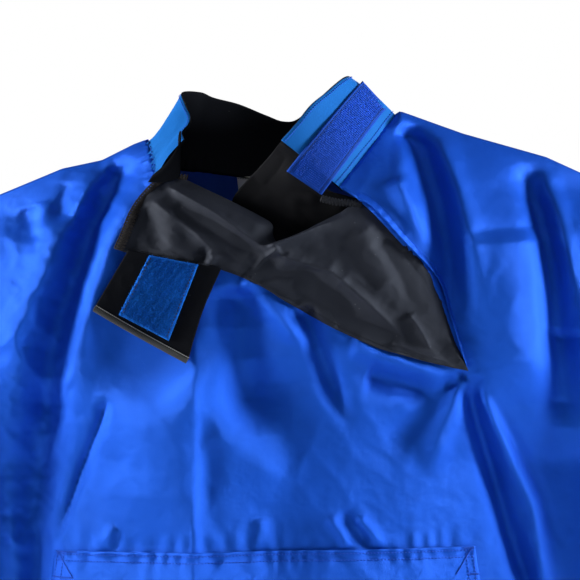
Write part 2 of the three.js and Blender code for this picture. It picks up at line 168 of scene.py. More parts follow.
# The gusset, seen from the front: the fold at its top and the seam at its foot, left end first
GUSSET_TOP = (
    (-74, -46), (-60, -53), (-33, -66), (-8, -79), (2, -86), (3, -96), (8, -103), (20, -97), (38, -87),
    (58, -77),
    (77, -68), (99, -86), (116, -104), (136, -126), (147, -150), (157, -182), (168, -208),
)
GUSSET_FOOT = (
    (-131, -107), (-123, -110), (-106, -113), (-80, -117), (-45, -124), (-13, -136), (14, -152), (51, -173),
    (89, -190), (112, -197), (130, -202), (150, -207), (169, -211),
)
GUSSET_END = ((-74, -46), (-84, -45), (-95, -47), (-109, -61), (-118, -75), (-125, -93), (-131, -107))
GUSSET_FOLDS = (
    (5.5, 4.5, 1, ((-86, -54), (-46, -77), (-4, -107))),
    (-4.2, 7, 2, ((-82, -70), (-40, -92), (-6, -112))),
    (3.4, 5, 1, ((-100, -66), (-62, -94), (-40, -116))),
    (7.5, 8, 1, ((-2, -106), (26, -94), (60, -77))),
    (-6.0, 8, 2, ((2, -116), (-12, -126), (-22, -138))),
    (6, 5, 1, ((8, -106), (-6, -116), (-17, -130))),
    (6.0, 8, 1, ((6, -112), (52, -126), (82, -152), (112, -180))),
    (-5.0, 11, 2, ((20, -130), (50, -146), (74, -166))),
    (-3.0, 4, 2, ((-8, -128), (20, -127), (48, -128))),
    (-5.0, 9, 2, ((56, -174), (84, -178), (112, -184))),
    (4.0, 5, 1, ((118, -162), (129, -178), (136, -192))),
    (3.4, 5, 1, ((104, -186), (126, -195), (150, -203))),
    (4.0, 4, 2, ((-52, -110), (-48, -115), (-54, -121))),
    (-3.4, 4, 2, ((-59, -107), (-55, -113), (-61, -119))),
    (-3.4, 12, 2, ((96, -96), (116, -128), (134, -160))),
    (3, 12, 2, ((76, -88), (92, -118), (108, -150))),
    (-3, 9, 2, ((-112, -74), (-100, -94), (-92, -110))),
    (2.6, 8, 2, ((-98, -62), (-86, -86), (-78, -108))),
)
# The part of the gusset that rises behind the collar's front end: left edge and right edge
RISE_LEFT = ((10, -15), (0, -27), (-11, -39), (-20, -48), (-28, -57), (-33, -67), (-30, -84), (-14, -104),
             (6, -118))
RISE_RIGHT = ((23, -25), (30, -38), (40, -50), (52, -58), (66, -62), (80, -68), (74, -88), (52, -108),
              (30, -122))

# Turned-out end of the collar
TAB_ORIGIN = (-123.515, -64.073, -111.907)
TAB_ACROSS = (0.87044, -0.06485, -0.48799)
TAB_UP = (0.48756, -0.02333, 0.87278)
TAB_OUT = (-0.06798, -0.99762, 0.01131)

# Pocket
POCKET_TOP = -364.0
POCKET_FOOT = -560.0
POCKET_LEFT = -186.0
POCKET_RIGHT = 176.0
POCKET_FLARE = 28.0

# Sleeves, cuffs and waistband
ELBOW_DROP = 605.0
WRIST_HALF = 52.0
WRIST_DEPTH = 27.0
WRIST_TILT = 0.14
BAND_TOP = -650.3
BAND_FOOT = -702.3


# Turn of the cloth's noise, so that its lattice doesn't line up with x and z
NOISE_TURN = (0.83, 0.56)


# ---------------------------------------------------------------- shape


def lattice(x, z, size, seed):
    """Smooth noise from -1 to 1 whose bumps are size apart."""
    rng = np.random.RandomState(seed)
    table = rng.uniform(-1, 1, (64, 64))
    x, z = np.asarray(x, float), np.asarray(z, float)
    turn_x, turn_z = NOISE_TURN
    u, v = (turn_x * x + turn_z * z) / size, (turn_x * z - turn_z * x) / size
    i, j = np.floor(u).astype(int), np.floor(v).astype(int)
    a, b = u - i, v - j
    a, b = a**3 * (a * (6 * a - 15) + 10), b**3 * (b * (6 * b - 15) + 10)
    low = table[i % 64, j % 64] * (1 - a) + table[(i + 1) % 64, j % 64] * a
    high = table[i % 64, (j + 1) % 64] * (1 - a) + table[(i + 1) % 64, (j + 1) % 64] * a
    return low * (1 - b) + high * b


def crumple(x, z, size, seed):
    """Creased noise from -1 to 1, with sharp valleys as thin coated cloth has."""
    soft = lattice(x, z, size, seed)
    sharp = 1 - 2 * np.abs(lattice(x + 0.4 * z, z - 0.3 * x, size * 0.7, seed + 1))
    return 0.55 * soft + 0.45 * sharp


def to_path(x, z, points):
    """Distance to a path of points, and how far along it the nearest point is, from 0 to 1."""
    p = np.asarray(points, float)
    steps = np.linalg.norm(np.diff(p, axis=0), axis=1)
    start = np.concatenate([[0], np.cumsum(steps)])
    best = np.full(np.shape(x), 1e9)
    along = np.zeros(np.shape(x))
    for k, step in enumerate(steps):
        dx, dz = (p[k + 1] - p[k]) / step
        t = np.clip((x - p[k, 0]) * dx + (z - p[k, 1]) * dz, 0, step)
        d = np.hypot(x - p[k, 0] - t * dx, z - p[k, 1] - t * dz)
        near = d < best
        best = np.where(near, d, best)
        along = np.where(near, (start[k] + t) / start[-1], along)
    return best, along


def fold_height(x, z, folds):
    """The sum of a table of folds."""
    total = np.zeros(np.shape(x))
    for height, width, kind, points in folds:
        d, along = to_path(x, z, points)
        ends = 0.2 + 0.8 * np.clip(along * 14, 0, 1) * np.clip((1 - along) * 4, 0, 1)
        profile = np.exp(-d / (0.62 * width)) if kind == 1 else np.exp(-((d / width) ** 2))
        total += height * ends * profile
    return total


def pucker(x, z, path, count, height, width):
    """Small gathers along a seam."""
    d, along = to_path(x, z, path)
    waves = np.cos(along * count * 2 * math.pi + 1.3 * np.sin(along * 19))
    return height * waves * np.exp(-((d / width) ** 2))


def smooth_curve(points, count):
    """A path of points, resampled smoothly to count points."""
    p = np.asarray(points, float)
    u = np.linspace(0, len(p) - 1, count)
    k = np.clip(u.astype(int), 0, len(p) - 2)
    t = (u - k)[:, None]
    before, after = p[np.clip(k - 1, 0, None)], p[np.clip(k + 2, None, len(p) - 1)]
    a, b = p[k], p[k + 1]
    return 0.5 * (2 * a + (b - before) * t + (2 * before - 5 * a + 4 * b - after) * t**2
                  + (3 * a - before - 3 * b + after) * t**3)


def even_curve(points, count):
    """A smooth path resampled to count points at even distances."""
    fine = smooth_curve(points, 40 * len(points))
    steps = np.linalg.norm(np.diff(fine, axis=0), axis=1)
    at = np.concatenate([[0], np.cumsum(steps)])
    want = np.linspace(0, at[-1], count)
    return np.stack([np.interp(want, at, fine[:, c]) for c in range(fine.shape[1])], axis=1)


def shoulder(x):
    """Height of the shoulder line at x."""
    return np.interp(x, SHOULDER_X, SHOULDER_Z)


def half_depth(x, z):
    """How far the body stands in front of or behind the middle plane."""
    left = np.asarray(x) > 0
    tip = np.where(left, TIP_LEFT, TIP_RIGHT)
    below = np.clip((shoulder(x) - z) / 100, 0, 1)
    rise = 1 - (1 - below) ** 2
    centre = CHEST_DEPTH + (HEM_DEPTH - CHEST_DEPTH) * (-z / HEM_DROP)
    across = (x / CHEST_HALF) ** 2
    middle, half = (tip - ARMHOLE_DROP) / 2, (tip + ARMHOLE_DROP) / 2
    share = 1 - ((z - middle) / half) ** 2
    opening = (share + np.sqrt(share**2 + 0.008)) / 2
    return ARMHOLE_DEPTH * opening * across + centre * rise * (1 - across)


def body_depth(x, z, side, crinkle=1.0):
    """Distance of the cloth from the middle plane with its folds, on the front (-1) or the back (+1)."""
    depth = half_depth(x, z)
    calm = np.clip(depth / 22, 0, 1) * np.clip((z + HEM_DROP + 4) / 30, 0.15, 1)
    if side < 0:
        folds = fold_height(x, z, FRONT_FOLDS)
        far = to_path(x, z, ((-150, -20), (-200, -130), (-230, -330)))[0]
        busy = 0.5 + 1.6 * np.exp(-((far / 60) ** 2))
        folds += busy * 1.1 * crumple(x, z * 0.62, 34, 11) + 0.9 * lattice(x, z * 0.4, 70, 12)
        folds += 0.45 * crinkle * crumple(x, z, 13, 13) * busy
    else:
        folds = BACK_FOLD_STRENGTH * fold_height(x, z, BACK_FOLDS) + 3.2 * crumple(x, z * 0.5, 44, 21)
        folds += 1.0 * crumple(x, z * 0.7, 17, 22)
        near_neck = np.exp(-(((z + 40) / 26) ** 2)) * np.clip(1 - np.abs(x + 10) / 80, 0, 1)
        folds += 2.6 * near_neck * np.cos(x / 3.4 + 0.8 * np.sin(x / 9))
    if side < 0:
        folds += 0.4 * np.cos(x / 2.4 + 1.4 * np.sin(x / 11)) * np.exp(-(((z + 357) / 7) ** 2))
        folds = folds * FRONT_FOLD_STRENGTH
        folds += pucker(x, z, FRONT_HOLE[:3], 6, 1.3, 9)
        folds += pucker(x, z, FRONT_HOLE[16:22], 17, 0.5, 7)
        folds += pucker(x, z, SLIT_EDGE, 24, 0.35, 6)
        tab = np.exp(-((to_path(x, z, ((-86, -124), (-106, -186)))[0] / 52) ** 4))
        folds = folds * (1 - tab) - 3.0 * tab
    return 1.2 + depth + folds * calm


def front_point(x, z, lift=0.0):
    """Points on the front's cloth at x, z, lifted off it."""
    return np.stack([x, -body_depth(x, z, -1) - lift, z], axis=-1)


def inside(x, z, polygon):
    """Whether points lie in a polygon."""
    p = np.asarray(polygon, float)
    q = np.roll(p, -1, axis=0)
    hit = np.zeros(np.shape(x), bool)
    for (ax, az), (bx, bz) in zip(p, q):
        crosses = (az > z) != (bz > z)
        with np.errstate(divide="ignore", invalid="ignore"):
            at = ax + (z - az) * (bx - ax) / (bz - az)
        hit ^= crosses & (x < at)
    return hit


def onto_path(x, z, points):
    """The nearest points of a path."""
    p = np.asarray(points, float)
    best = np.full(np.shape(x), 1e9)
    out_x, out_z = np.array(x, float), np.array(z, float)
    for a, b in zip(p[:-1], p[1:]):
        step = np.linalg.norm(b - a)
        dx, dz = (b - a) / step
        t = np.clip((x - a[0]) * dx + (z - a[1]) * dz, 0, step)
        px, pz = a[0] + t * dx, a[1] + t * dz
        d = np.hypot(x - px, z - pz)
        near = d < best
        best = np.where(near, d, best)
        out_x, out_z = np.where(near, px, out_x), np.where(near, pz, out_z)
    return out_x, out_z


# ---------------------------------------------------------------- meshes


def grid_normals(grid, wrap, sign):
    """The way a grid of points faces at each of them; sign turns it over."""
    if wrap:
        around = np.roll(grid, -1, axis=1) - np.roll(grid, 1, axis=1)
    else:
        around = np.gradient(grid, axis=1)
    n = np.cross(np.gradient(grid, axis=0), around) * sign
    return n / np.maximum(np.linalg.norm(n, axis=2, keepdims=True), 1e-9)


def new_object(name, verts, faces, materials, face_slots=None, flat=None, uv=None):
    """A mesh object from millimetre points; uv holds a pair for each vertex."""
    name = name.replace(" ", "_")
    mesh = bpy.data.meshes.new(name)
    mesh.from_pydata((np.asarray(verts) * MM).tolist(), [], faces)
    for m in materials:
        mesh.materials.append(m)
    count = len(mesh.polygons)
    smooth = np.ones(count, bool)
    if flat is not None:
        smooth[np.asarray(flat, bool)] = False
    mesh.polygons.foreach_set("use_smooth", smooth)
    if face_slots is not None:
        mesh.polygons.foreach_set("material_index", np.asarray(face_slots, np.int32))
    if uv is not None:
        layer = mesh.uv_layers.new(name="Cloth")
        corner = np.zeros(len(mesh.loops), np.int32)
        mesh.loops.foreach_get("vertex_index", corner)
        layer.data.foreach_set("uv", np.asarray(uv, float)[corner].ravel())
    mesh.update()
    obj = bpy.data.objects.new(name, mesh)
    bpy.context.scene.collection.objects.link(obj)
    return obj


def cloth(name, grid, thickness, materials, sign=1, wrap=False, keep=None, slots=(0, 1, 0)):
    """A sheet of real thickness over a grid of points: outer skin, inner skin and a rim at each edge."""
    n, m = grid.shape[:2]
    cells_j = m if wrap else m - 1
    kept = np.ones((n - 1, cells_j), bool) if keep is None else keep
    inner = grid - grid_normals(grid, wrap, sign) * thickness
    index = np.arange(n * m).reshape(n, m)
    i, j = np.nonzero(kept)
    j2 = (j + 1) % m
    quad = np.stack([index[i, j], index[i + 1, j], index[i + 1, j2], index[i, j2]], axis=1)
    if sign < 0:
        quad = quad[:, ::-1]
    faces = [quad, quad[:, ::-1] + n * m]
    groups = [np.full(len(quad), slots[0]), np.full(len(quad), slots[1])]
    frame_cells = np.zeros((n + 1, cells_j + 2), bool)
    frame_cells[1:n, 1:-1] = kept
    if wrap:
        frame_cells[:, 0], frame_cells[:, -1] = frame_cells[:, -2], frame_cells[:, 1]
    sides = (
        ((0, 0), (1, 0), (0, -1)), ((1, 0), (1, 1), (1, 0)),
        ((1, 1), (0, 1), (0, 1)), ((0, 1), (0, 0), (-1, 0)),
    )
    for (ai, aj), (bi, bj), (di, dj) in sides:
        bare = ~frame_cells[i + 1 + di, j + 1 + dj]
        a = index[i[bare] + ai, (j[bare] + aj) % m]
        b = index[i[bare] + bi, (j[bare] + bj) % m]
        if sign < 0:
            a, b = b, a
        faces.append(np.stack([b, a, a + n * m, b + n * m], axis=1))
        groups.append(np.full(len(a), slots[2]))
    rims = sum(len(f) for f in faces[2:])
    quads = np.concatenate(faces)
    verts = np.concatenate([grid.reshape(-1, 3), inner.reshape(-1, 3)])
    down = np.concatenate([[0], np.cumsum(np.linalg.norm(np.diff(grid, axis=0), axis=2).mean(1))])
    over = np.concatenate([[0], np.cumsum(np.linalg.norm(np.diff(grid, axis=1), axis=2).mean(0))])
    uv = np.stack(np.broadcast_arrays(over[None, :], down[:, None]), axis=-1).reshape(-1, 2) * MM
    uv = np.concatenate([uv, uv])
    used, quads = np.unique(quads, return_inverse=True)
    quads = quads.reshape(-1, 4)
    flat = np.zeros(len(quads), bool)
    if rims:
        flat[-rims:] = True
    return new_object(name, verts[used], quads.tolist(), materials, np.concatenate(groups), flat, uv[used])


def many(name, centres, across, along, out, shape_verts, shape_faces, materials, slots=None):
    """Many copies of one small shape, each laid on its own three directions."""
    shape = np.asarray(shape_verts, float)
    c = np.asarray(centres, float)[:, None, :]
    points = (c + shape[None, :, 0:1] * np.asarray(across)[:, None, :]
              + shape[None, :, 1:2] * np.asarray(along)[:, None, :]
              + shape[None, :, 2:3] * np.asarray(out)[:, None, :])
    count = len(shape)
    faces = []
    for k in range(len(points)):
        faces += [[v + k * count for v in f] for f in shape_faces]
    uv = points.reshape(-1, 3)[:, [0, 2]] * MM
    groups = None if slots is None else np.repeat(slots, len(shape_faces))
    return new_object(name, points.reshape(-1, 3), faces, materials, groups, None, uv)


def thread_shape(length, radius):
    """A rounded stitch lying along its second direction, proud of the cloth."""
    rings = ((-0.5, 0.35, -0.5), (-0.3, 1.0, 0.35), (0.0, 1.1, 0.75), (0.3, 1.0, 0.35), (0.5, 0.35, -0.5))
    verts = []
    for y, r, lift in rings:
        for k in range(5):
            angle = 2 * math.pi * k / 5
            verts.append((radius * r * math.cos(angle), y * length, radius * (lift + r * math.sin(angle))))
    faces = [[5 * r + k, 5 * r + (k + 1) % 5, 5 * r + 5 + (k + 1) % 5, 5 * r + 5 + k]
             for r in range(4) for k in range(5)]
    faces += [[4, 3, 2, 1, 0], [20, 21, 22, 23, 24]]
    return verts, faces


def unit(v):
    """Vectors brought to a length of one."""
    v = np.asarray(v, float)
    return v / np.maximum(np.linalg.norm(v, axis=-1, keepdims=True), 1e-9)


def stitches(name, points, out, pitch, length, radius, material, turn=0.0):
    """A row of stitches along a path of 3-D points; out is the way the cloth faces at each point."""
    p = np.asarray(points, float)
    steps = np.linalg.norm(np.diff(p, axis=0), axis=1)
    at = np.concatenate([[0], np.cumsum(steps)])
    want = np.arange(pitch / 2, at[-1], pitch)
    centre = np.stack([np.interp(want, at, p[:, c]) for c in range(3)], axis=1)
    ahead = np.stack([np.interp(want + 0.5, at, p[:, c]) for c in range(3)], axis=1)
    behind = np.stack([np.interp(want - 0.5, at, p[:, c]) for c in range(3)], axis=1)
    along = unit(ahead - behind)
    face = np.stack([np.interp(want, at, np.broadcast_to(out, p.shape)[:, c]) for c in range(3)], axis=1)
    across = unit(np.cross(along, face))
    face = unit(np.cross(across, along))
    if turn:
        swing = turn * np.where(np.arange(len(want)) % 2, -1, 1)[:, None]
        along, across = unit(along + swing * across), unit(across - swing * along)
    verts, faces = thread_shape(length, radius)
    return many(name, centre, across, along, face, verts, faces, [material])


def finish_piece(obj, body, nodes=()):
    """Hang a piece from the empty of the body it rides, and hide the CAD nodes it stands for."""
    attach(obj, body)
    if nodes:
        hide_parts(*nodes)
    return obj


# ---------------------------------------------------------------- materials


def new_group(name, inputs, output, kind):
    """A shader node group with float or colour inputs and one output."""
    tree = bpy.data.node_groups.new(name, "ShaderNodeTree")
    for label, socket, value in inputs:
        item = tree.interface.new_socket(name=label, in_out="INPUT", socket_type=socket)
        item.default_value = value
    tree.interface.new_socket(name=output, in_out="OUTPUT", socket_type=kind)
    start = tree.nodes.new("NodeGroupInput")
    end = tree.nodes.new("NodeGroupOutput")
    return tree, start, end


def node(tree, kind, **settings):
    """A new shader node with its settings."""
    made = tree.nodes.new(kind)
    for key, value in settings.items():
        setattr(made, key, value)
    return made


def math_node(tree, operation, a, b=0.0):
    """A math node fed by numbers or by other nodes' outputs."""
    made = node(tree, "ShaderNodeMath", operation=operation)
    for socket, value in zip(made.inputs, (a, b)):
        if isinstance(value, (int, float)):
            socket.default_value = value
        else:
            tree.links.new(value, socket)
    return made.outputs[0]


def noise(tree, scale, detail=4.0, roughness=0.55, source="Object"):
    """A noise texture of the given scale."""
    place = node(tree, "ShaderNodeTexCoord")
    made = node(tree, "ShaderNodeTexNoise")
    tree.links.new(place.outputs[source], made.inputs["Vector"])
    if isinstance(scale, (int, float)):
        made.inputs["Scale"].default_value = scale
    else:
        tree.links.new(scale, made.inputs["Scale"])
    made.inputs["Detail"].default_value = detail
    made.inputs["Roughness"].default_value = roughness
    return made.outputs["Fac"]


def build_groups():
    """The effects that several materials share."""
    groups = {}
    value, colour = "NodeSocketFloat", "NodeSocketColor"
    # tone: cloth colour that drifts between a deep and a light shade, with fine flecks
    tree, start, end = new_group("Cloth Tone", (
        ("Base", colour, (0.1, 0.2, 0.8, 1)), ("Deep", colour, (0.05, 0.1, 0.5, 1)),
        ("Light", colour, (0.2, 0.3, 0.9, 1)), ("Drift Size", value, 14.0),
        ("Fleck Size", value, 900.0), ("Fleck Amount", value, 0.25)), "Colour", colour)
    wide = noise(tree, start.outputs["Drift Size"])
    deep = node(tree, "ShaderNodeMix", data_type="RGBA")
    tree.links.new(math_node(tree, "MULTIPLY", math_node(tree, "SUBTRACT", 0.62, wide), 2.2), deep.inputs[0])
    tree.links.new(start.outputs["Base"], deep.inputs[6])
    tree.links.new(start.outputs["Deep"], deep.inputs[7])
    fine = noise(tree, start.outputs["Fleck Size"], 2.0, 0.7)
    share = math_node(tree, "MULTIPLY", math_node(tree, "SUBTRACT", fine, 0.42), 4.0)
    share = math_node(tree, "MULTIPLY", share, start.outputs["Fleck Amount"])
    light = node(tree, "ShaderNodeMix", data_type="RGBA", clamp_factor=True)
    tree.links.new(share, light.inputs[0])
    tree.links.new(deep.outputs[2], light.inputs[6])
    tree.links.new(start.outputs["Light"], light.inputs[7])
    tree.links.new(light.outputs[2], end.inputs["Colour"])
    groups["tone"] = tree
    # weave: two sets of threads crossing
    tree, start, end = new_group("Thread Weave", (("Threads", value, 1400.0),), "Height", value)
    place = node(tree, "ShaderNodeTexCoord")
    waves = []
    for direction in ("X", "Y"):
        wave = node(tree, "ShaderNodeTexWave", bands_direction=direction)
        tree.links.new(place.outputs["UV"], wave.inputs["Vector"])
        tree.links.new(start.outputs["Threads"], wave.inputs["Scale"])
        wave.inputs["Distortion"].default_value = 0.6
        waves.append(wave.outputs["Fac"])
    tree.links.new(math_node(tree, "MULTIPLY", math_node(tree, "ADD", waves[0], waves[1]), 0.5),
                   end.inputs["Height"])
    groups["weave"] = tree
    # crinkle: ridged creases of thin coated cloth
    tree, start, end = new_group("Crinkle", (("Size", value, 40.0),), "Height", value)
    ridge = math_node(tree, "ABSOLUTE",
                      math_node(tree, "SUBTRACT", noise(tree, start.outputs["Size"], 5.0), 0.5))
    tree.links.new(math_node(tree, "MULTIPLY", ridge, -2.0), end.inputs["Height"])
    groups["crinkle"] = tree
    # pebble: fine knit over foam
    tree, start, end = new_group("Knit Face", (("Loops", value, 700.0),), "Height", value)
    place = node(tree, "ShaderNodeTexCoord")
    cells = node(tree, "ShaderNodeTexVoronoi", feature="SMOOTH_F1")
    tree.links.new(place.outputs["Object"], cells.inputs["Vector"])
    tree.links.new(start.outputs["Loops"], cells.inputs["Scale"])
    tree.links.new(math_node(tree, "SUBTRACT", 1.0, cells.outputs["Distance"]), end.inputs["Height"])
    groups["knit"] = tree
    # rough: roughness between two values, worn smoother in patches
    tree, start, end = new_group("Wear Roughness", (
        ("Smooth", value, 0.35), ("Rough", value, 0.5), ("Patch Size", value, 22.0)), "Roughness", value)
    patch = noise(tree, start.outputs["Patch Size"], 6.0)
    span = math_node(tree, "SUBTRACT", start.outputs["Rough"], start.outputs["Smooth"])
    tree.links.new(math_node(tree, "ADD", start.outputs["Smooth"], math_node(tree, "MULTIPLY", patch, span)),
                   end.inputs["Roughness"])
    groups["rough"] = tree
    # lint: scattered pale specks on dark cloth
    tree, start, end = new_group("Lint", (("Amount", value, 0.25),), "Mask", value)
    place = node(tree, "ShaderNodeTexCoord")
    specks = node(tree, "ShaderNodeTexVoronoi", feature="F1")
    tree.links.new(place.outputs["Object"], specks.inputs["Vector"])
    specks.inputs["Scale"].default_value = 130.0
    near = math_node(tree, "LESS_THAN", specks.outputs["Distance"], 0.07)
    some = math_node(tree, "GREATER_THAN", noise(tree, 60.0, 1.0), 0.5)
    both = math_node(tree, "MULTIPLY", near, some)
    tree.links.new(math_node(tree, "MULTIPLY", both, start.outputs["Amount"]), end.inputs["Mask"])
    groups["lint"] = tree
    return groups


def shade(colour, factor):
    """A colour made lighter or darker by a factor, with full alpha."""
    return tuple(min(1.0, c * factor) for c in colour[:3]) + (1.0,)


def cloth_material(groups, name, colour, rough, surface, size, depth, deep=0.7, light=1.35, fleck=0.2,
                   drift=14.0, fleck_size=900.0, crinkle=0.0, lint=0.0, sheen=0.0, specular=0.3, gloss=None,
                   metallic=0.0):
    """A cloth with drifting colour, its own surface relief and worn roughness."""
    made = bpy.data.materials.new(name)
    made.use_nodes = True
    tree = made.node_tree
    tree.nodes.clear()
    shader = node(tree, "ShaderNodeBsdfPrincipled")
    output = node(tree, "ShaderNodeOutputMaterial")
    tree.links.new(shader.outputs[0], output.inputs[0])
    shader.inputs["Specular IOR Level"].default_value = specular
    shader.inputs["Metallic"].default_value = metallic
    if gloss:
        shader.inputs["Specular Tint"].default_value = tuple(gloss) + (1,)
    shader.inputs["Sheen Weight"].default_value = sheen
    shader.inputs["Sheen Roughness"].default_value = 0.4
    tone = node(tree, "ShaderNodeGroup", node_tree=groups["tone"])
    tone.inputs["Base"].default_value = tuple(colour[:3]) + (1,)
    tone.inputs["Deep"].default_value = shade(colour, deep)
    tone.inputs["Light"].default_value = shade(colour, light)
    tone.inputs["Drift Size"].default_value = drift
    tone.inputs["Fleck Size"].default_value = fleck_size
    tone.inputs["Fleck Amount"].default_value = fleck
    base = tone.outputs[0]
    if lint:
        specks = node(tree, "ShaderNodeGroup", node_tree=groups["lint"])
        specks.inputs["Amount"].default_value = lint
        dusty = node(tree, "ShaderNodeMix", data_type="RGBA")
        tree.links.new(specks.outputs[0], dusty.inputs[0])
        tree.links.new(base, dusty.inputs[6])
        dusty.inputs[7].default_value = (0.32, 0.32, 0.34, 1)
        base = dusty.outputs[2]
    tree.links.new(base, shader.inputs["Base Color"])
    wear = node(tree, "ShaderNodeGroup", node_tree=groups["rough"])
    wear.inputs["Smooth"].default_value, wear.inputs["Rough"].default_value = rough
    tree.links.new(wear.outputs[0], shader.inputs["Roughness"])
    relief = node(tree, "ShaderNodeGroup", node_tree=groups[surface])
    relief.inputs[0].default_value = size
    height = relief.outputs[0]
    bump = node(tree, "ShaderNodeBump")
    bump.inputs["Strength"].default_value = 0.6
    bump.inputs["Distance"].default_value = depth
    tree.links.new(height, bump.inputs["Height"])
    normal = bump.outputs[0]
    if crinkle:
        creases = node(tree, "ShaderNodeGroup", node_tree=groups["crinkle"])
        creases.inputs[0].default_value = 34.0
        second = node(tree, "ShaderNodeBump")
        second.inputs["Strength"].default_value = 0.45
        second.inputs["Distance"].default_value = crinkle
        tree.links.new(creases.outputs[0], second.inputs["Height"])
        tree.links.new(normal, second.inputs["Normal"])
        normal = second.outputs[0]
    tree.links.new(normal, shader.inputs["Normal"])
    return made


def build_materials(s):
    """Every finish of the jacket, from the settings' colours."""
    g = build_groups()
    return {
        "nylon": cloth_material(g, "Coated Nylon", s.nylon_colour, (0.34, 0.46), "weave", 1500.0, 0.00012,
                                deep=0.85, light=1.2, fleck=0.12, crinkle=0.0012, specular=0.7,
                                gloss=(0.10, 0.38, 1.0), metallic=0.35),
        "lining": cloth_material(g, "Nylon Inside", s.lining_colour, (0.45, 0.6), "weave", 1500.0, 0.0001,
                                 deep=0.75, light=1.3, fleck=0.1, crinkle=0.0008, gloss=(0.2, 0.45, 1.0)),
        "collar": cloth_material(g, "Collar Face", s.collar_colour, (0.7, 0.85), "knit", 1100.0, 0.00012,
                                 deep=0.86, light=1.35, fleck=0.4, fleck_size=1300.0, specular=0.1),
        "hook": cloth_material(g, "Hook Tape", s.hook_colour, (0.5, 0.65), "weave", 900.0, 0.0002,
                               deep=0.75, light=1.6, fleck=0.3, gloss=(0.2, 0.45, 1.0)),
        "hook_tip": cloth_material(g, "Hook Tips", shade(s.hook_colour, 2.6), (0.35, 0.5), "weave", 2500.0,
                                   0.00005, deep=0.8, light=1.3, fleck=0.2),
        "loop": cloth_material(g, "Loop Pile", s.loop_colour, (0.8, 0.95), "knit", 1500.0, 0.0003,
                               deep=0.72, light=1.9, fleck=0.55, fleck_size=700.0, drift=60.0, specular=0.1),
        "gusset": cloth_material(g, "Gusset Taffeta", s.gusset_colour, (0.52, 0.64), "weave", 1300.0, 0.00012,
                                 deep=0.84, light=1.25, fleck=0.12, crinkle=0.0007, lint=0.15, specular=0.4,
                                 gloss=(0.7, 0.8, 1.0)),
        # Painted shade: a copy of the gusset colour at 0.35 of its brightness, for the part of the gusset
        # that lies in shadow behind the collar
        "gusset_painted_shade": cloth_material(g, "Gusset Painted Shade", shade(s.gusset_colour, 0.35), (0.6, 0.75),
                                        "weave", 1300.0,
                                        0.00012, deep=0.8, light=1.3, fleck=0.12, specular=0.15),
        "overlock": cloth_material(g, "Overlock Thread", s.edge_colour, (0.7, 0.85), "weave", 2600.0, 0.0001,
                                   deep=0.6, light=2.2, fleck=0.4),
        "neoprene": cloth_material(g, "Neoprene Knit", s.neoprene_colour, (0.82, 0.95), "knit", 1400.0,
                                   0.0001, deep=0.7, light=1.8, fleck=0.3, lint=0.06, specular=0.08),
        "binding": cloth_material(g, "Edge Binding", s.binding_colour, (0.6, 0.75), "weave", 1800.0, 0.0002,
                                  deep=0.75, light=1.3, fleck=0.3),
        "label": cloth_material(g, "Woven Label", s.label_colour, (0.6, 0.7), "weave", 2400.0, 0.0001,
                                deep=0.88, light=1.05, fleck=0.2),
        "thread": cloth_material(g, "Blue Thread", s.thread_colour, (0.5, 0.65), "weave", 3000.0, 0.00005,
                                 deep=0.75, light=1.3, fleck=0.3),
        "dark_thread": cloth_material(g, "Dark Thread", shade(s.neoprene_colour, 3.0), (0.6, 0.75), "weave",
                                      3000.0, 0.00005, deep=0.7, light=1.6, fleck=0.3),
        "pale_thread": cloth_material(g, "Pale Thread", shade(s.binding_colour, 3.4), (0.6, 0.75), "weave",
                                      3000.0, 0.00005, deep=0.8, light=1.2, fleck=0.3),
    }


# ---------------------------------------------------------------- pieces


def build_front(mats, s):
    """The front of the body with its neck hole, and the folded edge of the slit."""
    u = np.linspace(-1, 1, 251)
    x = CHEST_HALF * u * np.ones((271, 1))
    v = np.linspace(0, 1, 271)[:, None] ** 1.05
    top = shoulder(x)
    z = top + (-HEM_DROP + 0.5 - top) * v
    centre_x = (x[:-1, :-1] + x[1:, 1:]) / 2
    centre_z = (z[:-1, :-1] + z[1:, 1:]) / 2
    keep = ~inside(centre_x, centre_z, FRONT_HOLE)
    touch_keep, touch_drop = np.zeros(x.shape, bool), np.zeros(x.shape, bool)
    for di in (0, 1):
        for dj in (0, 1):
            rows, cols = slice(di, di + keep.shape[0]), slice(dj, dj + keep.shape[1])
            touch_keep[rows, cols] |= keep
            touch_drop[rows, cols] |= ~keep
    edge = touch_keep & touch_drop
    loop = FRONT_HOLE[:22]
    sx, sz = onto_path(x[edge], z[edge], loop)
    x[edge], z[edge] = sx, sz
    grid = front_point(x, z)
    body = cloth("Front Body", grid, s.cloth_thickness / MM, [mats["nylon"], mats["lining"]], 1, False,
                 keep, (0, 1, 0))
    finish_piece(body, "shell", ["front_panel"])
    path = even_curve(SLIT_EDGE, 90)
    ahead = unit(np.gradient(path, axis=0))
    side = np.stack([-ahead[:, 1], ahead[:, 0]], axis=1)
    rows = []
    narrow = np.linspace(1, 0.25, 90)[:, None]
    for w, lift in ((-1.0, 2.4), (-1.1, 3.5), (-0.5, 3.9), (0.6, 3.6), (2.2, 2.3), (4.2, 0.7), (5.6, -0.7)):
        q = path + side * w * narrow
        rows.append(front_point(q[:, 0], q[:, 1], lift))
    edge_fold = cloth("Slit Edge Fold", np.stack(rows, axis=1), 0.5, [mats["nylon"]], 1)
    finish_piece(edge_fold, "shell")
    return body


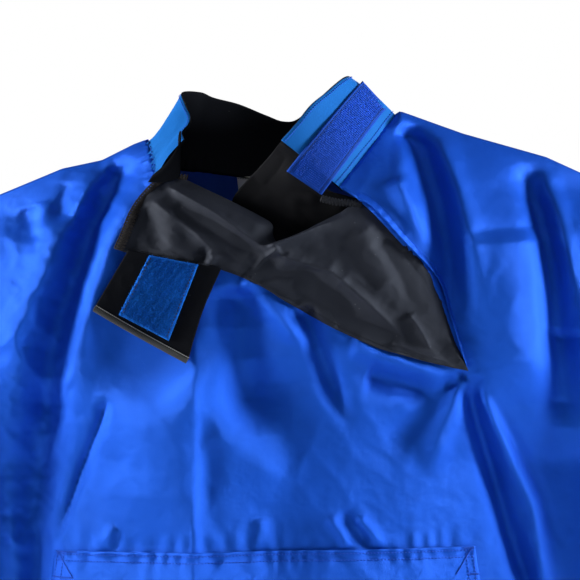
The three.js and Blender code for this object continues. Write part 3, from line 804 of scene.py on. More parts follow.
def build_back(mats, s):
    """The back of the body, gathered below the neck."""
    x = np.linspace(-CHEST_HALF, CHEST_HALF, 151) * np.ones((131, 1))
    seam = np.array([(a, b) for a, b, side in COLLAR_SEAM if side > 0])
    seam = seam[np.argsort(seam[:, 0])]
    neck = np.interp(x, seam[:, 0], seam[:, 1])
    top = np.where(np.abs(x) < 104, np.minimum(neck, shoulder(x)), shoulder(x))
    z = top + (-HEM_DROP + 0.5 - top) * np.linspace(0, 1, 131)[:, None] ** 1.35
    grid = np.stack([x, body_depth(x, z, 1), z], axis=-1)
    body = cloth("Back Body", grid, s.cloth_thickness / MM, [mats["nylon"], mats["lining"]], -1, False,
                 None, (0, 1, 0))
    finish_piece(body, "shell", ["back_panel"])
    seams = []
    for side in (-1, 1):
        path = np.stack([np.full(60, side * 286.8), np.linspace(-296, -645, 60)], axis=1)
        seams.append(stitches(f"Side Seam {'Left' if side > 0 else 'Right'}",
                              np.stack([path[:, 0], np.full(60, -4.2), path[:, 1]], axis=1),
                              (side, -0.6, 0), 3.2, 2.3, 0.35, mats["thread"]))
        line = np.linspace(108, 284, 60) * side
        points = np.stack([line, body_depth(line, shoulder(line) - 4, 1) + 0.3, shoulder(line) - 4], axis=1)
        seams.append(stitches(f"Shoulder Seam {'Left' if side > 0 else 'Right'}", points, (0, 0.8, 0.6),
                              3.0, 2.2, 0.35, mats["thread"]))
    for row in seams:
        finish_piece(row, "shell")
    return body


def collar_curves(count):
    """The collar's seam and upper edge as matching 3-D curves, from its front end round to the other."""
    seam = np.array([(x, side * (0.15 + float(half_depth(x, z))), z) for x, z, side in COLLAR_SEAM])
    return smooth_curve(seam, count), smooth_curve(COLLAR_EDGE, count)


def collar_point(low, high, k, v, out=0.0):
    """A point on the collar at station k and share v of its height, pushed outward."""
    k, v = np.asarray(k, float), np.asarray(v, float)
    index = k * (len(low) - 1)
    at = np.arange(len(low))
    a = np.stack([np.interp(index, at, low[:, c]) for c in range(3)], axis=-1)
    b = np.stack([np.interp(index, at, high[:, c]) for c in range(3)], axis=-1)
    point = a + (b - a) * v[..., None]
    if np.ndim(out) == 0 and out == 0.0:
        return point
    a2 = np.stack([np.interp(index + 1, at, low[:, c]) for c in range(3)], axis=-1)
    a1 = np.stack([np.interp(index - 1, at, low[:, c]) for c in range(3)], axis=-1)
    b2 = np.stack([np.interp(index + 1, at, high[:, c]) for c in range(3)], axis=-1)
    b1 = np.stack([np.interp(index - 1, at, high[:, c]) for c in range(3)], axis=-1)
    run = (a2 - a1) * (1 - v[..., None]) + (b2 - b1) * v[..., None]
    face = unit(np.cross(run, b - a))
    return point + face * np.asarray(out)[..., None]


def build_collar(mats, s):
    """The standing collar: coloured knit outside, black inside, one end turned out."""
    low, high = collar_curves(241)
    k = np.linspace(0, 1, 221)[:, None] * np.ones(29)
    v = np.linspace(-0.07, 1, 29) * np.ones((221, 1))
    belly = 1.8 * np.sin(math.pi * v)
    belly = belly + 1.1 * crumple(k * 420, v * 58, 46, 31) * np.sin(math.pi * np.clip(v * 1.1, 0, 1))
    pucker = 1.1 * np.cos(k * 260) * np.exp(-((v / 0.12) ** 2)) * (k > 0.6)
    grid = collar_point(low, high, k, v, belly + pucker)
    band = cloth("Collar Band", grid, 2.6, [mats["collar"], mats["neoprene"]], 1, False, None, (0, 1, 1))
    finish_piece(band, "shell", ["collar_band"])
    # the inside turned out at the end, running down under the gusset
    top = even_curve(((-76.5, -41, -5), (-79, -46, -18), (-88, -50, -32), (-101, -52, -44)), 24)
    foot = even_curve(((-77, -47, -44), (-82, -50, -48), (-92, -53, -50), (-104, -55, -50)), 24)
    share = np.linspace(0, 1, 20)[None, :, None]
    turned = top[:, None, :] * (1 - share) + foot[:, None, :] * share
    turned[..., 1] -= 1.4 * np.sin(math.pi * share[..., 0])
    flap = cloth("Turned Collar End", turned, 2.4, [mats["neoprene"], mats["collar"]], 1, False, None,
                 (0, 1, 0))
    finish_piece(flap, "shell")
    # seams
    line = np.linspace(0.004, 0.996, 300)
    for name, height, pitch, size, tint in (
        ("Collar Seam Stitches", 0.07, 3.0, 2.2, "thread"),
        ("Collar Edge Stitches", 0.955, 2.6, 1.9, "thread"),
    ):
        p = collar_point(low, high, line, np.full(300, height), 2.6 * np.sin(math.pi * height) + 0.4)
        face = unit(p - collar_point(low, high, line, np.full(300, height), -4.0))
        row = stitches(name, p, face, pitch, size, 0.34, mats[tint])
        finish_piece(row, "shell")
    return band


def hook_shape():
    """One bent hook of the tape, a short post leaning over at its tip."""
    verts, faces = [], []
    path = ((0, 0, 0.38), (0, 0.45, 0.30), (0.16, 0.85, 0.24), (0.62, 0.95, 0.16))
    for dx, dz, r in path:
        for a in range(4):
            angle = math.pi / 4 + a * math.pi / 2
            verts.append((dx + r * math.cos(angle), r * math.sin(angle), dz))
    for ring in range(3):
        for a in range(4):
            b = (a + 1) % 4
            faces.append([4 * ring + a, 4 * ring + b, 4 * ring + 4 + b, 4 * ring + 4 + a])
    faces += [[3, 2, 1, 0], [12, 13, 14, 15]]
    return verts, faces


def build_hook_strip(mats, s):
    """The hook tape sewn across the collar's front end."""
    corners = np.array(((14, -73.5, -41), (44, -66, -61), (80, -37, 40), (103, -17, 20)), float)
    a = np.linspace(0, 1, 25)[:, None, None]
    b = np.linspace(0, 1, 97)[None, :, None]
    foot = corners[0] + (corners[1] - corners[0]) * a
    head = corners[2] + (corners[3] - corners[2]) * a
    grid = foot * (1 - b) + head * b
    low, high = collar_curves(241)
    k = np.linspace(0, 0.265, 90)[:, None] * np.ones(40)
    v = np.linspace(0, 1, 40) * np.ones((90, 1))
    ground = collar_point(low, high, k, v, 1.8 * np.sin(math.pi * v)).reshape(-1, 3)
    apart = np.hypot(grid[..., 0].reshape(-1, 1) - ground[:, 0], grid[..., 2].reshape(-1, 1) - ground[:, 2])
    weight = 1 / (apart + 1.5) ** 5
    depth = ((weight * ground[:, 1]).sum(1) / weight.sum(1)).reshape(grid.shape[:2])
    for _ in range(6):
        padded = np.pad(depth, 1, mode="edge")
        depth = (padded[:-2, 1:-1] + padded[2:, 1:-1] + padded[1:-1, :-2] + padded[1:-1, 2:]) / 4
    grid[..., 1] = depth - 2.6
    over = np.clip((b[..., 0] - 0.9) / 0.1, 0, 1)
    grid[..., 1] += over**1.6 * (1.0 + 6.0 * a[..., 0]) - 1.2 * over
    grid[..., 2] -= 3.0 * over**1.5 * a[..., 0]
    face = -grid_normals(grid, False, 1)
    face *= np.where(face[..., 1:2] > 0, -1, 1)
    sign = 1 if grid_normals(grid, False, 1)[12, 48, 1] < 0 else -1
    edge = np.minimum(a[..., 0], 1 - a[..., 0])
    selvedge = np.exp(-(((edge - 0.045) / 0.018) ** 2)) * 0.5
    grid = grid + face * (selvedge - 0.5 * np.exp(-(((edge - 0.085) / 0.012) ** 2)))[..., None]
    tape = cloth("Hook Tape", grid, 1.2, [mats["hook"]], sign)
    finish_piece(tape, "shell", ["hook_strip"])
    rng = np.random.RandomState(41)
    rows, cols = 60, 19
    aa = np.linspace(0.13, 0.87, cols)[None, :] * np.ones((rows, 1))
    bb = np.linspace(0.025, 0.975, rows)[:, None] * np.ones(cols)
    aa = (aa + rng.uniform(-0.006, 0.006, aa.shape)).ravel()
    bb = (bb + rng.uniform(-0.002, 0.002, bb.shape)).ravel()
    fa, fb = aa * 24, bb * 96
    i, j = np.clip(fa.astype(int), 0, 23), np.clip(fb.astype(int), 0, 95)
    ta, tb = (fa - i)[:, None], (fb - j)[:, None]

    def pick(field):
        near = field[i, j] * (1 - ta) + field[i + 1, j] * ta
        far = field[i, j + 1] * (1 - ta) + field[i + 1, j + 1] * ta
        return near * (1 - tb) + far * tb

    centre, out = pick(grid), unit(pick(face))
    along = unit(pick(np.gradient(grid, axis=1)))
    across = unit(np.cross(along, out)) * np.where(rng.uniform(size=len(aa)) < 0.5, -1, 1)[:, None]
    verts, faces = hook_shape()
    hooks = many("Hooks", centre, across, along, out, verts, faces, [mats["hook_tip"], mats["hook"]],
                 (rng.uniform(size=len(aa)) < 0.4).astype(int))
    finish_piece(hooks, "shell")
    for name, at in (("Hook Tape Stitches Left", 0.07), ("Hook Tape Stitches Right", 0.93)):
        k = int(round(at * 24))
        row = stitches(name, grid[k] + face[k] * 0.2, face[k], 2.6, 1.9, 0.3, mats["dark_thread"])
        finish_piece(row, "shell")
    return tape


def gusset_grid(s):
    """The gusset's front apron, ruled from its top fold to its foot seam, with a curved left end."""
    columns, rows = 201, 71
    top, foot = even_curve(GUSSET_TOP, columns), even_curve(GUSSET_FOOT, columns)
    u = np.linspace(0, 1, columns)
    v = np.linspace(0, 1, rows)
    flat = top[:, None, :] * (1 - v)[None, :, None] + foot[:, None, :] * v[None, :, None]
    end = even_curve(GUSSET_END, rows)
    straight = top[0] * (1 - v)[:, None] + foot[0] * v[:, None]
    flat += ((1 - u) ** 3)[:, None, None] * (end - straight)[None]
    x, z = flat[..., 0], flat[..., 1]
    vv = v[None, :] * np.ones((columns, 1))
    uu = u[:, None] * np.ones(rows)
    lift = 3.0 + fold_height(x, z, GUSSET_FOLDS) * np.clip(vv * 8, 0.3, 1) * np.clip((1 - uu) * 9, 0, 1)
    lift += 1.0 * crumple(x, z, 22, 51) + 0.35 * crumple(x, z, 8, 52)
    lift += 2.6 * np.exp(-(((x + 88) / 40) ** 2)) * np.clip((vv - 0.45) / 0.4, 0, 1)
    lift += 1.6 * np.exp(-((vv / 0.05) ** 2)) * (1 - uu)
    grid = np.stack([x, -body_depth(x, z, -1, 0.0) - np.maximum(lift, 1.2), z], axis=-1)
    sag = np.clip((0.30 - vv) / 0.30, 0, 1) ** 2
    between = np.exp(-(((x - 0) / 48) ** 2))
    grid[..., 1] += sag * (4 + 10 * between)
    return grid


def build_gusset(mats, s):
    """The dark insert of the neck: its apron, the part rising behind the collar and its overlocked end."""
    grid = gusset_grid(s)
    apron = cloth("Gusset Apron", grid, 0.6, [mats["gusset"]], -1, False, None, (0, 0, 0))
    finish_piece(apron, "shell", ["neck_gusset"])
    left, right = even_curve(RISE_LEFT, 60), even_curve(RISE_RIGHT, 60)
    w = np.linspace(0, 1, 44)[None, :, None]
    flat = left[:, None, :] * (1 - w) + right[:, None, :] * w
    down = np.linspace(0, 1, 60)[:, None]
    across = w[0, :, 0][None, :]
    depth = -64 + 26 * np.sin(1.9 * down) * (1 - 0.5 * across) - 2.4 * np.sin(math.pi * across) * down
    depth = depth + 1.8 * np.sin(across * 7 + down * 2.2) * down
    depth = depth + 1.1 * crumple(flat[..., 0], flat[..., 1], 16, 55)
    rise = np.stack([flat[..., 0], depth, flat[..., 1]], axis=-1)
    # The rising part wears the darker copy of the gusset colour: painted shade for where it lies in shadow
    upper = cloth("Gusset Upper Fold", rise, 0.6, [mats["gusset_painted_shade"]], 1, False, None, (0, 0, 0))
    finish_piece(upper, "shell")
    # overlocked ends
    def ribs(name, points, pitch, length, radius, tint):
        steps = np.linalg.norm(np.diff(points, axis=0), axis=1)
        at = np.concatenate([[0], np.cumsum(steps)])
        want = np.arange(0, at[-1], pitch)
        centre = np.stack([np.interp(want, at, points[:, c]) for c in range(3)], axis=1)
        run = unit(np.gradient(centre, axis=0))
        out = np.tile((0.0, -1.0, 0.0), (len(want), 1))
        along = unit(np.cross(run, out))
        lean = np.where(np.arange(len(want)) % 2, 0.16, -0.1)[:, None]
        verts, faces = thread_shape(length, radius)
        made = many(name, centre, unit(run - lean * along), unit(along + lean * run), out, verts, faces,
                    [mats[tint]])
        return made
    edge_line = smooth_curve(grid[0], 90)
    edge_line = edge_line + np.array((2.2, -0.5, -0.8))
    nodes = ["gusset_edge"]
    piece = ribs("Overlocked Gusset End", edge_line, 1.35, 8.8, 0.9, "overlock")
    finish_piece(piece, "shell", nodes)
    rim = smooth_curve(grid[0], 60) + np.array((-1.2, -0.2, 0.6))
    chain = stitches("Overlock Chain", rim, (0, -1, 0), 2.0, 2.4, 0.7, mats["overlock"])
    finish_piece(chain, "shell")
    lip = np.array(((44, -60, -64), (56, -61.5, -67), (68, -62, -68), (78, -62, -70)), float)
    under = ribs("Overlocked Collar Foot", smooth_curve(lip, 40), 1.4, 6.5, 0.8, "dark_thread")
    finish_piece(under, "shell")
    count = grid.shape[0]
    foot = grid[: count - 6, 67]
    row = stitches("Gusset Foot Stitches", foot + np.array((0, -0.2, 0)), (0, -1, 0), 2.8, 2.0, 0.3,
                   mats["dark_thread"])
    finish_piece(row, "shell")
    return apron


def tab_point(x, down, out):
    """A point of the turned-out collar end, from its root's left corner."""
    o, a, b, c = (np.array(q) for q in (TAB_ORIGIN, TAB_ACROSS, TAB_UP, TAB_OUT))
    x, down, out = np.broadcast_arrays(x, down, out)
    return o + x[..., None] * a - down[..., None] * b + out[..., None] * c


def quad_blend(corners, a, b, bows=(0, 0)):
    """A point of a four-cornered outline: a across from left to right, b down from top to foot."""
    (x0, y0), (x1, y1), (x2, y2), (x3, y3) = corners
    x = (x0 * (1 - a) + x1 * a) * (1 - b) + (x3 * (1 - a) + x2 * a) * b
    y = (y0 * (1 - a) + y1 * a) * (1 - b) + (y3 * (1 - a) + y2 * a) * b
    x = x - bows[0] * a * np.sin(math.pi * b)
    y = y + bows[1] * b * np.sin(math.pi * a)
    return x, y


def curl_shape():
    """A small loop of pile."""
    path = ((0, 0, 0.22), (0.25, 0.6, 0.2), (0.75, 0.75, 0.18), (1.0, 0.2, 0.14))
    verts, faces = [], []
    for dx, dz, r in path:
        for k in range(3):
            angle = 2 * math.pi * k / 3
            verts.append((dx + 0.7 * r * math.cos(angle), r * math.sin(angle),
                          dz + 0.7 * r * math.cos(angle)))
    for ring in range(3):
        for k in range(3):
            faces.append([3 * ring + k, 3 * ring + (k + 1) % 3, 3 * ring + 3 + (k + 1) % 3, 3 * ring + 3 + k])
    return verts, faces


def build_pile(name, place, out, across, along, count, height, material, seed):
    """Scattered loops of pile; place maps two shares from 0 to 1 to points."""
    rng = np.random.RandomState(seed)
    a, b = rng.uniform(0.01, 0.99, count), rng.uniform(0.01, 0.99, count)
    centre = place(a, b)
    turn = rng.uniform(0, 2 * math.pi, count)[:, None]
    across, along = np.asarray(across, float), np.asarray(along, float)
    first = np.cos(turn) * across + np.sin(turn) * along
    second = -np.sin(turn) * across + np.cos(turn) * along
    size = (height * rng.uniform(0.7, 1.3, count))[:, None]
    outs = np.tile(np.asarray(out, float), (count, 1)) * size
    verts, faces = curl_shape()
    return many(name, centre, first * size, second * size, outs, verts, faces, [material])


def build_tab(mats, s):
    """The turned-out collar end: black foam cloth, a loop patch and a bound end."""
    a = np.linspace(0, 1, 61)[:, None] * np.ones(49)
    b = np.linspace(0, 1, 49)[None, :] * np.ones((61, 1))
    x, down = quad_blend(((1, -5), (78, -30), (91, 50.5), (0, 50.5)), a, b, (2.6, 0.8))
    wave = 1.4 * np.sin(a * 5.2 + b * 1.6) * b + 0.5 * crumple(x, down, 18, 61) + 2.2 * b * (a - 0.5) ** 2
    grid = tab_point(x, down, 3.0 + wave)
    tab = cloth("Collar Tab", grid, 2.7, [mats["neoprene"], mats["collar"]], -1, False, None, (0, 1, 0))
    finish_piece(tab, "collar_end", ["collar_tab"])

    def over(a, b, out, corners, bows=(0, 0)):
        x, down = quad_blend(corners, a, b, bows)
        ta, tb = np.clip(x / 88, 0, 1), np.clip(down / 55, 0, 1)
        ride = 1.4 * np.sin(ta * 5.2 + tb * 1.6) * tb + 2.2 * tb * (ta - 0.5) ** 2
        return tab_point(x, down, 3.0 + ride + out)

    patch = ((19, -10), (59.5, -23.5), (69, 45.5), (21, 47))
    a = np.linspace(0, 1, 45)[:, None] * np.ones(57)
    b = np.linspace(0, 1, 57)[None, :] * np.ones((45, 1))
    edge = np.minimum(np.minimum(a, 1 - a) * 46, np.minimum(b, 1 - b) * 60)
    x, down = quad_blend(patch, a, b)
    swell = 1.6 * (1 - np.exp(-edge / 1.3)) + 0.35 * crumple(x, down, 5, 62) + 0.5 * lattice(x, down, 13, 63)
    base = cloth("Loop Patch", over(a, b, 0.5 + swell, patch), 1.0, [mats["loop"]], -1, False, None,
                 (0, 0, 0))
    finish_piece(base, "collar_end", ["tab_loop_patch"])
    pile = build_pile("Loop Pile", lambda p, q: over(p, q, 2.0 + 0.3 * np.sin(40 * p + 17 * q), patch),
                      TAB_OUT, TAB_ACROSS, TAB_UP, 5200, s.pile_height / MM, mats["loop"], 64)
    finish_piece(pile, "collar_end")
    for name, left in (("Patch Stitches Left", 0.06), ("Patch Stitches Right", 0.95)):
        t = np.linspace(0.03, 0.97, 60)
        row = stitches(name, over(np.full(60, left), t, 2.7, patch), TAB_OUT, 2.8, 2.0, 0.36,
                       mats["dark_thread"])
        finish_piece(row, "collar_end")
    # bound end: a rolled tape with overlock ribs
    t = np.linspace(0, 1, 80)
    roll = []
    for angle in np.linspace(0, 2 * math.pi, 15)[:-1]:
        d = 52.6 + 2.5 * math.cos(angle) + 0.8 * np.sin(math.pi * t)
        tb = 1.0
        ride = 1.4 * np.sin(t * 5.2 + 1.6) * tb + 2.2 * tb * (t - 0.5) ** 2
        roll.append(tab_point(t * 91, d, 1.8 + ride + 1.9 * math.sin(angle)))
    rolled = np.stack(roll, axis=1)
    binding = cloth("Tab End Binding", rolled, 0.6, [mats["binding"]], 1, True, None, (0, 0, 0))
    finish_piece(binding, "collar_end", ["tab_end_binding"])
    t = np.linspace(0.005, 0.995, 70)
    ride = 1.4 * np.sin(t * 5.2 + 1.6) + 2.2 * (t - 0.5) ** 2
    centre = tab_point(t * 91, 52.4 + 0.8 * np.sin(math.pi * t), 3.5 + ride)
    verts, faces = thread_shape(5.0, 0.5)
    side = np.tile(TAB_ACROSS, (70, 1))
    up = np.tile(TAB_UP, (70, 1))
    ribs = many("Binding Ribs", centre, side, up, np.tile(TAB_OUT, (70, 1)), verts, faces, [mats["binding"]])
    finish_piece(ribs, "collar_end")
    line = tab_point(t * 91, 49.4 + 0.8 * np.sin(math.pi * t), 3.3 + ride)
    pale = stitches("Binding Edge Line", line, TAB_OUT, 1.9, 1.8, 0.42, mats["pale_thread"])
    finish_piece(pale, "collar_end")
    return tab


def pocket_point(u, v, lift):
    """A point of the pocket from its top left corner: u across, v down."""
    z = POCKET_TOP + (POCKET_FOOT - POCKET_TOP) * v + 4.0 * (u - 0.5) * (1 - v)
    left = POCKET_LEFT - POCKET_FLARE * v
    right = POCKET_RIGHT + POCKET_FLARE * v
    return front_point(left + (right - left) * u, z, lift)


def build_pocket(mats, s):
    """The chest pocket, sewn along its top and foot and open at both sides."""
    u = np.linspace(0, 1, 171)[:, None] * np.ones(111)
    v = np.linspace(0, 1, 111)[None, :] * np.ones((171, 1))
    crown = 0.35 + 0.65 * np.sin(math.pi * u) ** 0.7
    swell = 10.0 * np.sin(math.pi * np.clip(v, 0, 1) ** 0.9) ** 1.15 * crown
    hem = 0.8 * np.exp(-((v / 0.012) ** 2)) - 0.7 * np.exp(-(((v - 0.035) / 0.012) ** 2))
    pucker = 0.7 * np.cos(u * 150 + 3 * np.sin(u * 22)) * np.exp(-((v - 0.02) / 0.05) ** 2)
    x, z = u * 362, v * 196
    creases = 2.2 * crumple(x, z, 30, 71) * np.sin(math.pi * np.clip(v * 1.1, 0, 1))
    creases = creases + 0.4 * crumple(x, z, 11, 72)
    grid = pocket_point(u, v, 1.9 + swell + hem + pucker + np.maximum(creases, -1.2))
    pocket = cloth("Chest Pocket", grid, s.cloth_thickness / MM, [mats["nylon"], mats["lining"]], -1, False,
                   None, (0, 1, 0))
    finish_piece(pocket, "shell", ["pocket_panel"])

    def row(name, ua, va, ub, vb, turn=0.0, pitch=3.0):
        t = np.linspace(0, 1, 160)
        p, q = ua + (ub - ua) * t, va + (vb - va) * t
        at_u, at_v = np.clip(p, 0, 1) * 170, np.clip(q, 0, 1) * 110
        i, j = np.clip(at_u.astype(int), 0, 169), np.clip(at_v.astype(int), 0, 109)
        fu, fv = (at_u - i)[:, None], (at_v - j)[:, None]
        near = grid[i, j] * (1 - fu) + grid[i + 1, j] * fu
        far = grid[i, j + 1] * (1 - fu) + grid[i + 1, j + 1] * fu
        points = near * (1 - fv) + far * fv + np.array((0, -0.35, 0))
        made = stitches(name, points, (0, -1, 0), pitch, 2.2, 0.34, mats["thread"], turn)
        return finish_piece(made, "shell")

    row("Pocket Top Stitches", 0.004, 0.016, 0.996, 0.016)
    row("Pocket Top Second Row", 0.004, 0.045, 0.996, 0.045)
    row("Pocket Foot Stitches", 0.004, 0.985, 0.996, 0.985)
    for side, a, b in (("Left", 0.008, 0.024), ("Right", 0.992, 0.976)):
        row(f"Pocket {side} Edge Stitches", a, 0.01, a, 0.99)
        row(f"Pocket {side} Second Row", b, 0.01, b, 0.99)
        row(f"Pocket {side} Bar Tack", min(a, b) - 0.004, 0.006, max(a, b) + 0.03, 0.006, 0.9, 1.1)
        row(f"Pocket {side} Tack Box Foot", min(a, b) - 0.004, 0.12, max(a, b) + 0.03, 0.12, 0.9, 1.1)
        row(f"Pocket {side} Tack Brace", a, 0.006, b + (0.03 if side == "Left" else -0.03), 0.12, 0.9, 1.3)
    return pocket


def bezier(points, t):
    """Points at t on the curve of four control points."""
    a, b, c, d = (np.array(p, float) for p in points)
    t = t[:, None]
    return a * (1 - t) ** 3 + 3 * b * (1 - t) ** 2 * t + 3 * c * (1 - t) * t**2 + d * t**3


def sleeve_frame(side):
    """Upper and lower lines of a sleeve, drawn on the wearer's left."""
    tip = TIP_LEFT if side > 0 else TIP_RIGHT
    start = CHEST_HALF + 0.3
    wrist = start + 118
    reach, fall = WRIST_HALF * math.cos(WRIST_TILT), WRIST_HALF * math.sin(WRIST_TILT)
    out_x, in_x = wrist + reach, wrist - reach
    upper = ((start, tip), (start + 62, tip - 34), (out_x - 36, -302.5), (out_x, -ELBOW_DROP + fall))
    lower = ((start, -290), (start + 34, -324), (in_x + 6, -435.6), (in_x, -ELBOW_DROP - fall))
    return upper, lower


def build_sleeves(mats, s):
    """Both sleeves, creased at the elbow and gathered at the wrist."""
    made = []
    for side, word in ((1, "Left"), (-1, "Right")):
        upper, lower = sleeve_frame(side)
        v = np.linspace(0, 1, 131)
        top, foot = bezier(upper, v), bezier(lower, v)
        turn = np.linspace(0, 2 * math.pi, 97)[:-1]
        middle, half = (top + foot) / 2, (top - foot) / 2
        depth = np.interp(v, (0, 0.25, 0.5, 0.75, 1), (43.2, 57, 47, 32, 26.5))
        oval = v[:, None]
        across = np.cos(turn)[None, :]
        y = depth[:, None] * np.sign(np.sin(turn)) * np.abs(np.sin(turn)) ** (2 - oval)
        flat = middle[:, None, :] + half[:, None, :] * across[..., None]
        grid = np.stack([flat[..., 0], y, flat[..., 1]], axis=-1)
        grid[..., 0] *= side
        normals = grid_normals(grid, True, side)
        middle_line = np.stack([middle[:, 0] * side, np.zeros(131), middle[:, 1]], axis=1)
        outward = unit(grid - middle_line[:, None, :])
        normals *= np.where((normals * outward).sum(-1, keepdims=True) < 0, -1, 1)
        around, run = np.cos(turn)[None, :] * 60 + side * 300, v[:, None] * 620 + np.sin(turn)[None, :] * 25
        calm = np.clip(v / 0.06, 0, 1)[:, None] * np.clip((1 - v) / 0.02, 0.2, 1)[:, None]
        creases = 3.2 * crumple(run, around * 0.8, 46, 80 + side) + 1.3 * crumple(run, around, 17, 84 + side)
        near_elbow = np.exp(-(((v[:, None] - 0.56) / 0.1) ** 2))
        elbow = 2.2 * np.sin(v[:, None] * 110 + 1.4 * np.sin(turn)[None, :]) * near_elbow
        elbow = elbow * (0.3 + 0.7 * np.clip(-np.cos(turn)[None, :], 0, 1))
        gather = 1.0 * np.cos(turn * 30)[None, :] * np.exp(-(((1 - v[:, None]) / 0.05) ** 2))
        grid = grid + normals * ((creases + elbow) * calm + gather - 0.4)[..., None]
        sign = 1 if (grid_normals(grid, True, 1)[60] * outward[60]).sum() > 0 else -1
        sleeve = cloth(f"{word} Sleeve", grid, s.cloth_thickness / MM, [mats["nylon"], mats["lining"]],
                       sign, True, None, (0, 1, 0))
        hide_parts(f"{word.lower()}_sleeve")
        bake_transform(sleeve)
        made.append(sleeve)
        seam = grid[:, 48] + normals[:, 48] * 0.3
        row = stitches(f"{word} Sleeve Seam", seam[12:], normals[12:, 48], 3.2, 2.3, 0.35, mats["thread"])
        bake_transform(row)
        hem = np.concatenate([grid[-4], grid[-4][:1]]) + np.concatenate([normals[-4], normals[-4][:1]]) * 0.3
        row = stitches(f"{word} Wrist Seam", hem, np.concatenate([normals[-4], normals[-4][:1]]), 3.0, 2.1,
                       0.35, mats["thread"])
        finish_piece(row, f"{word.lower()}_arm")
    return made


def closure_frame(side):
    """Origin and directions of a cuff's closing tab: across, up the arm, out."""
    sign = 1 if side > 0 else -1
    origin = np.array((sign * 410.668, -27.0, -635.994))
    across = np.array((0.99022, 0, sign * 0.13954))
    up = np.array((-sign * 0.13954, 0, 0.99022))
    return origin, across, up, np.array((0.0, -1.0, 0.0))


def build_cuffs(mats, s):
    """The foam cuffs with their loop pads, closing tabs and hook pads."""
    made = []
    for side, word in ((1, "Left"), (-1, "Right")):
        upper, lower = sleeve_frame(side)
        wrist = (np.array(upper[3]) + np.array(lower[3])) / 2
        across = np.array((math.cos(WRIST_TILT), 0, math.sin(WRIST_TILT)))
        down = np.array((math.sin(WRIST_TILT), 0, -math.cos(WRIST_TILT)))
        turn = np.linspace(0, 2 * math.pi, 97)[:-1]
        t = np.linspace(0, 1, 41)
        ring = (across[None, None, :] * (WRIST_HALF - 0.4) * np.cos(turn)[None, :, None]
                + np.array((0, 1.0, 0)) * (WRIST_DEPTH - 0.4) * np.sin(turn)[None, :, None])
        grid = np.array((wrist[0], 0, wrist[1])) + ring + down * (0.4 + 61.6 * t)[:, None, None]
        outward = unit(ring)
        ribs = 0.35 * np.cos(turn * 48)[None, :] * np.sin(math.pi * t)[:, None]
        ribs = ribs - 0.7 * np.exp(-(((t - 0.5) / 0.5) ** 8))[:, None]
        dents = 0.3 * crumple(t[:, None] * 62, np.cos(turn)[None, :] * 50, 19, 91)
        grid = grid + outward * (ribs + dents)[..., None]
        grid[..., 0] *= side
        outward = outward * np.array((side, 1, 1))
        sign = 1 if (grid_normals(grid, True, 1)[20] * outward[0]).sum() > 0 else -1
        cuff = cloth(f"{word} Cuff", grid, 2.8, [mats["neoprene"]], sign, True, None, (0, 0, 0))
        finish_piece(cuff, f"{word.lower()}_arm", [f"{word.lower()}_cuff"])
        for label, at in (("Upper", 2), ("Lower", 37)):
            line = np.concatenate([grid[at], grid[at][:1]])
            face = np.concatenate([outward[0], outward[0][:1]])
            row = stitches(f"{word} Cuff {label} Stitches", line + face * 0.2, face, 2.8, 2.0, 0.35,
                           mats["dark_thread"])
            finish_piece(row, f"{word.lower()}_arm")
        origin, ax, up, out = closure_frame(side)
        flip = 1 if side > 0 else -1

        def place(x, y, lift):
            x, y, lift = np.broadcast_arrays(x, y, lift)
            return origin + flip * x[..., None] * ax + y[..., None] * up + lift[..., None] * out

        a = np.linspace(0, 1, 31)[:, None] * np.ones(23)
        b = np.linspace(0, 1, 23)[None, :] * np.ones((31, 1))
        rim = np.minimum(np.minimum(a, 1 - a) * 44, np.minimum(b, 1 - b) * 30)
        round_in = 0.9 * (1 - np.exp(-rim / 1.2))
        pads = (("Loop Pad", 22, 15, 0.5, "loop", "loop_blue", "arm", "_cuff_loop"),
                ("Hook Pad", 20, 14, 2.1, "hook", "hook_blue", "closure", "_cuff_hook"))
        for label, hx, hy, base, tint, slot, rider, tail in pads:
            pts = place((a * 2 - 1) * hx, (b * 2 - 1) * hy,
                        base + round_in * 0.7 + 0.12 * lattice(a * 60, b * 40, 4, 93))
            sign = 1 if grid_normals(pts, False, 1)[15, 11, 1] < 0 else -1
            pad = cloth(f"{word} Cuff {label}", pts, 0.6, [mats[tint]], sign, False, None, (0, 0, 0))
            finish_piece(pad, f"{word.lower()}_{rider}", [f"{word.lower()}{tail}"])
        reach_a = np.linspace(-22, 29.5, 61)[:, None] * np.ones(35)
        side_b = np.linspace(-17, 17, 35)[None, :] * np.ones((61, 1))
        corner = np.clip((-22 + 9 - reach_a) / 9, 0, 1)
        side_b = side_b * np.sqrt(np.clip(1 - 0.42 * corner**2, 0.1, 1))
        drop = np.where(reach_a > 21, 2.6 * np.clip((reach_a - 21) / 6, 0, 1) ** 2, 0)
        rise = 5.3 - drop + 0.35 * np.sin(reach_a / 9) + 0.25 * crumple(reach_a, side_b, 14, 95)
        pts = place(reach_a, side_b, rise)
        sign = 1 if grid_normals(pts, False, 1)[30, 17, 1] < 0 else -1
        tab = cloth(f"{word} Cuff Tab", pts, 1.9, [mats["neoprene"]], sign, False, None, (0, 0, 0))
        finish_piece(tab, f"{word.lower()}_closure", [f"{word.lower()}_cuff_tab"])
        line = [(-19, -12), (-19, 12), (18, 14), (18, -14), (-19, -12)]
        path = np.concatenate([np.linspace(p, q, 20) for p, q in zip(line[:-1], line[1:])])
        row = stitches(f"{word} Cuff Tab Stitches", place(path[:, 0], path[:, 1], 5.75), (0, -1, 0), 2.6,
                       1.9, 0.32, mats["dark_thread"])
        finish_piece(row, f"{word.lower()}_closure")
        made.append(cuff)
    return made


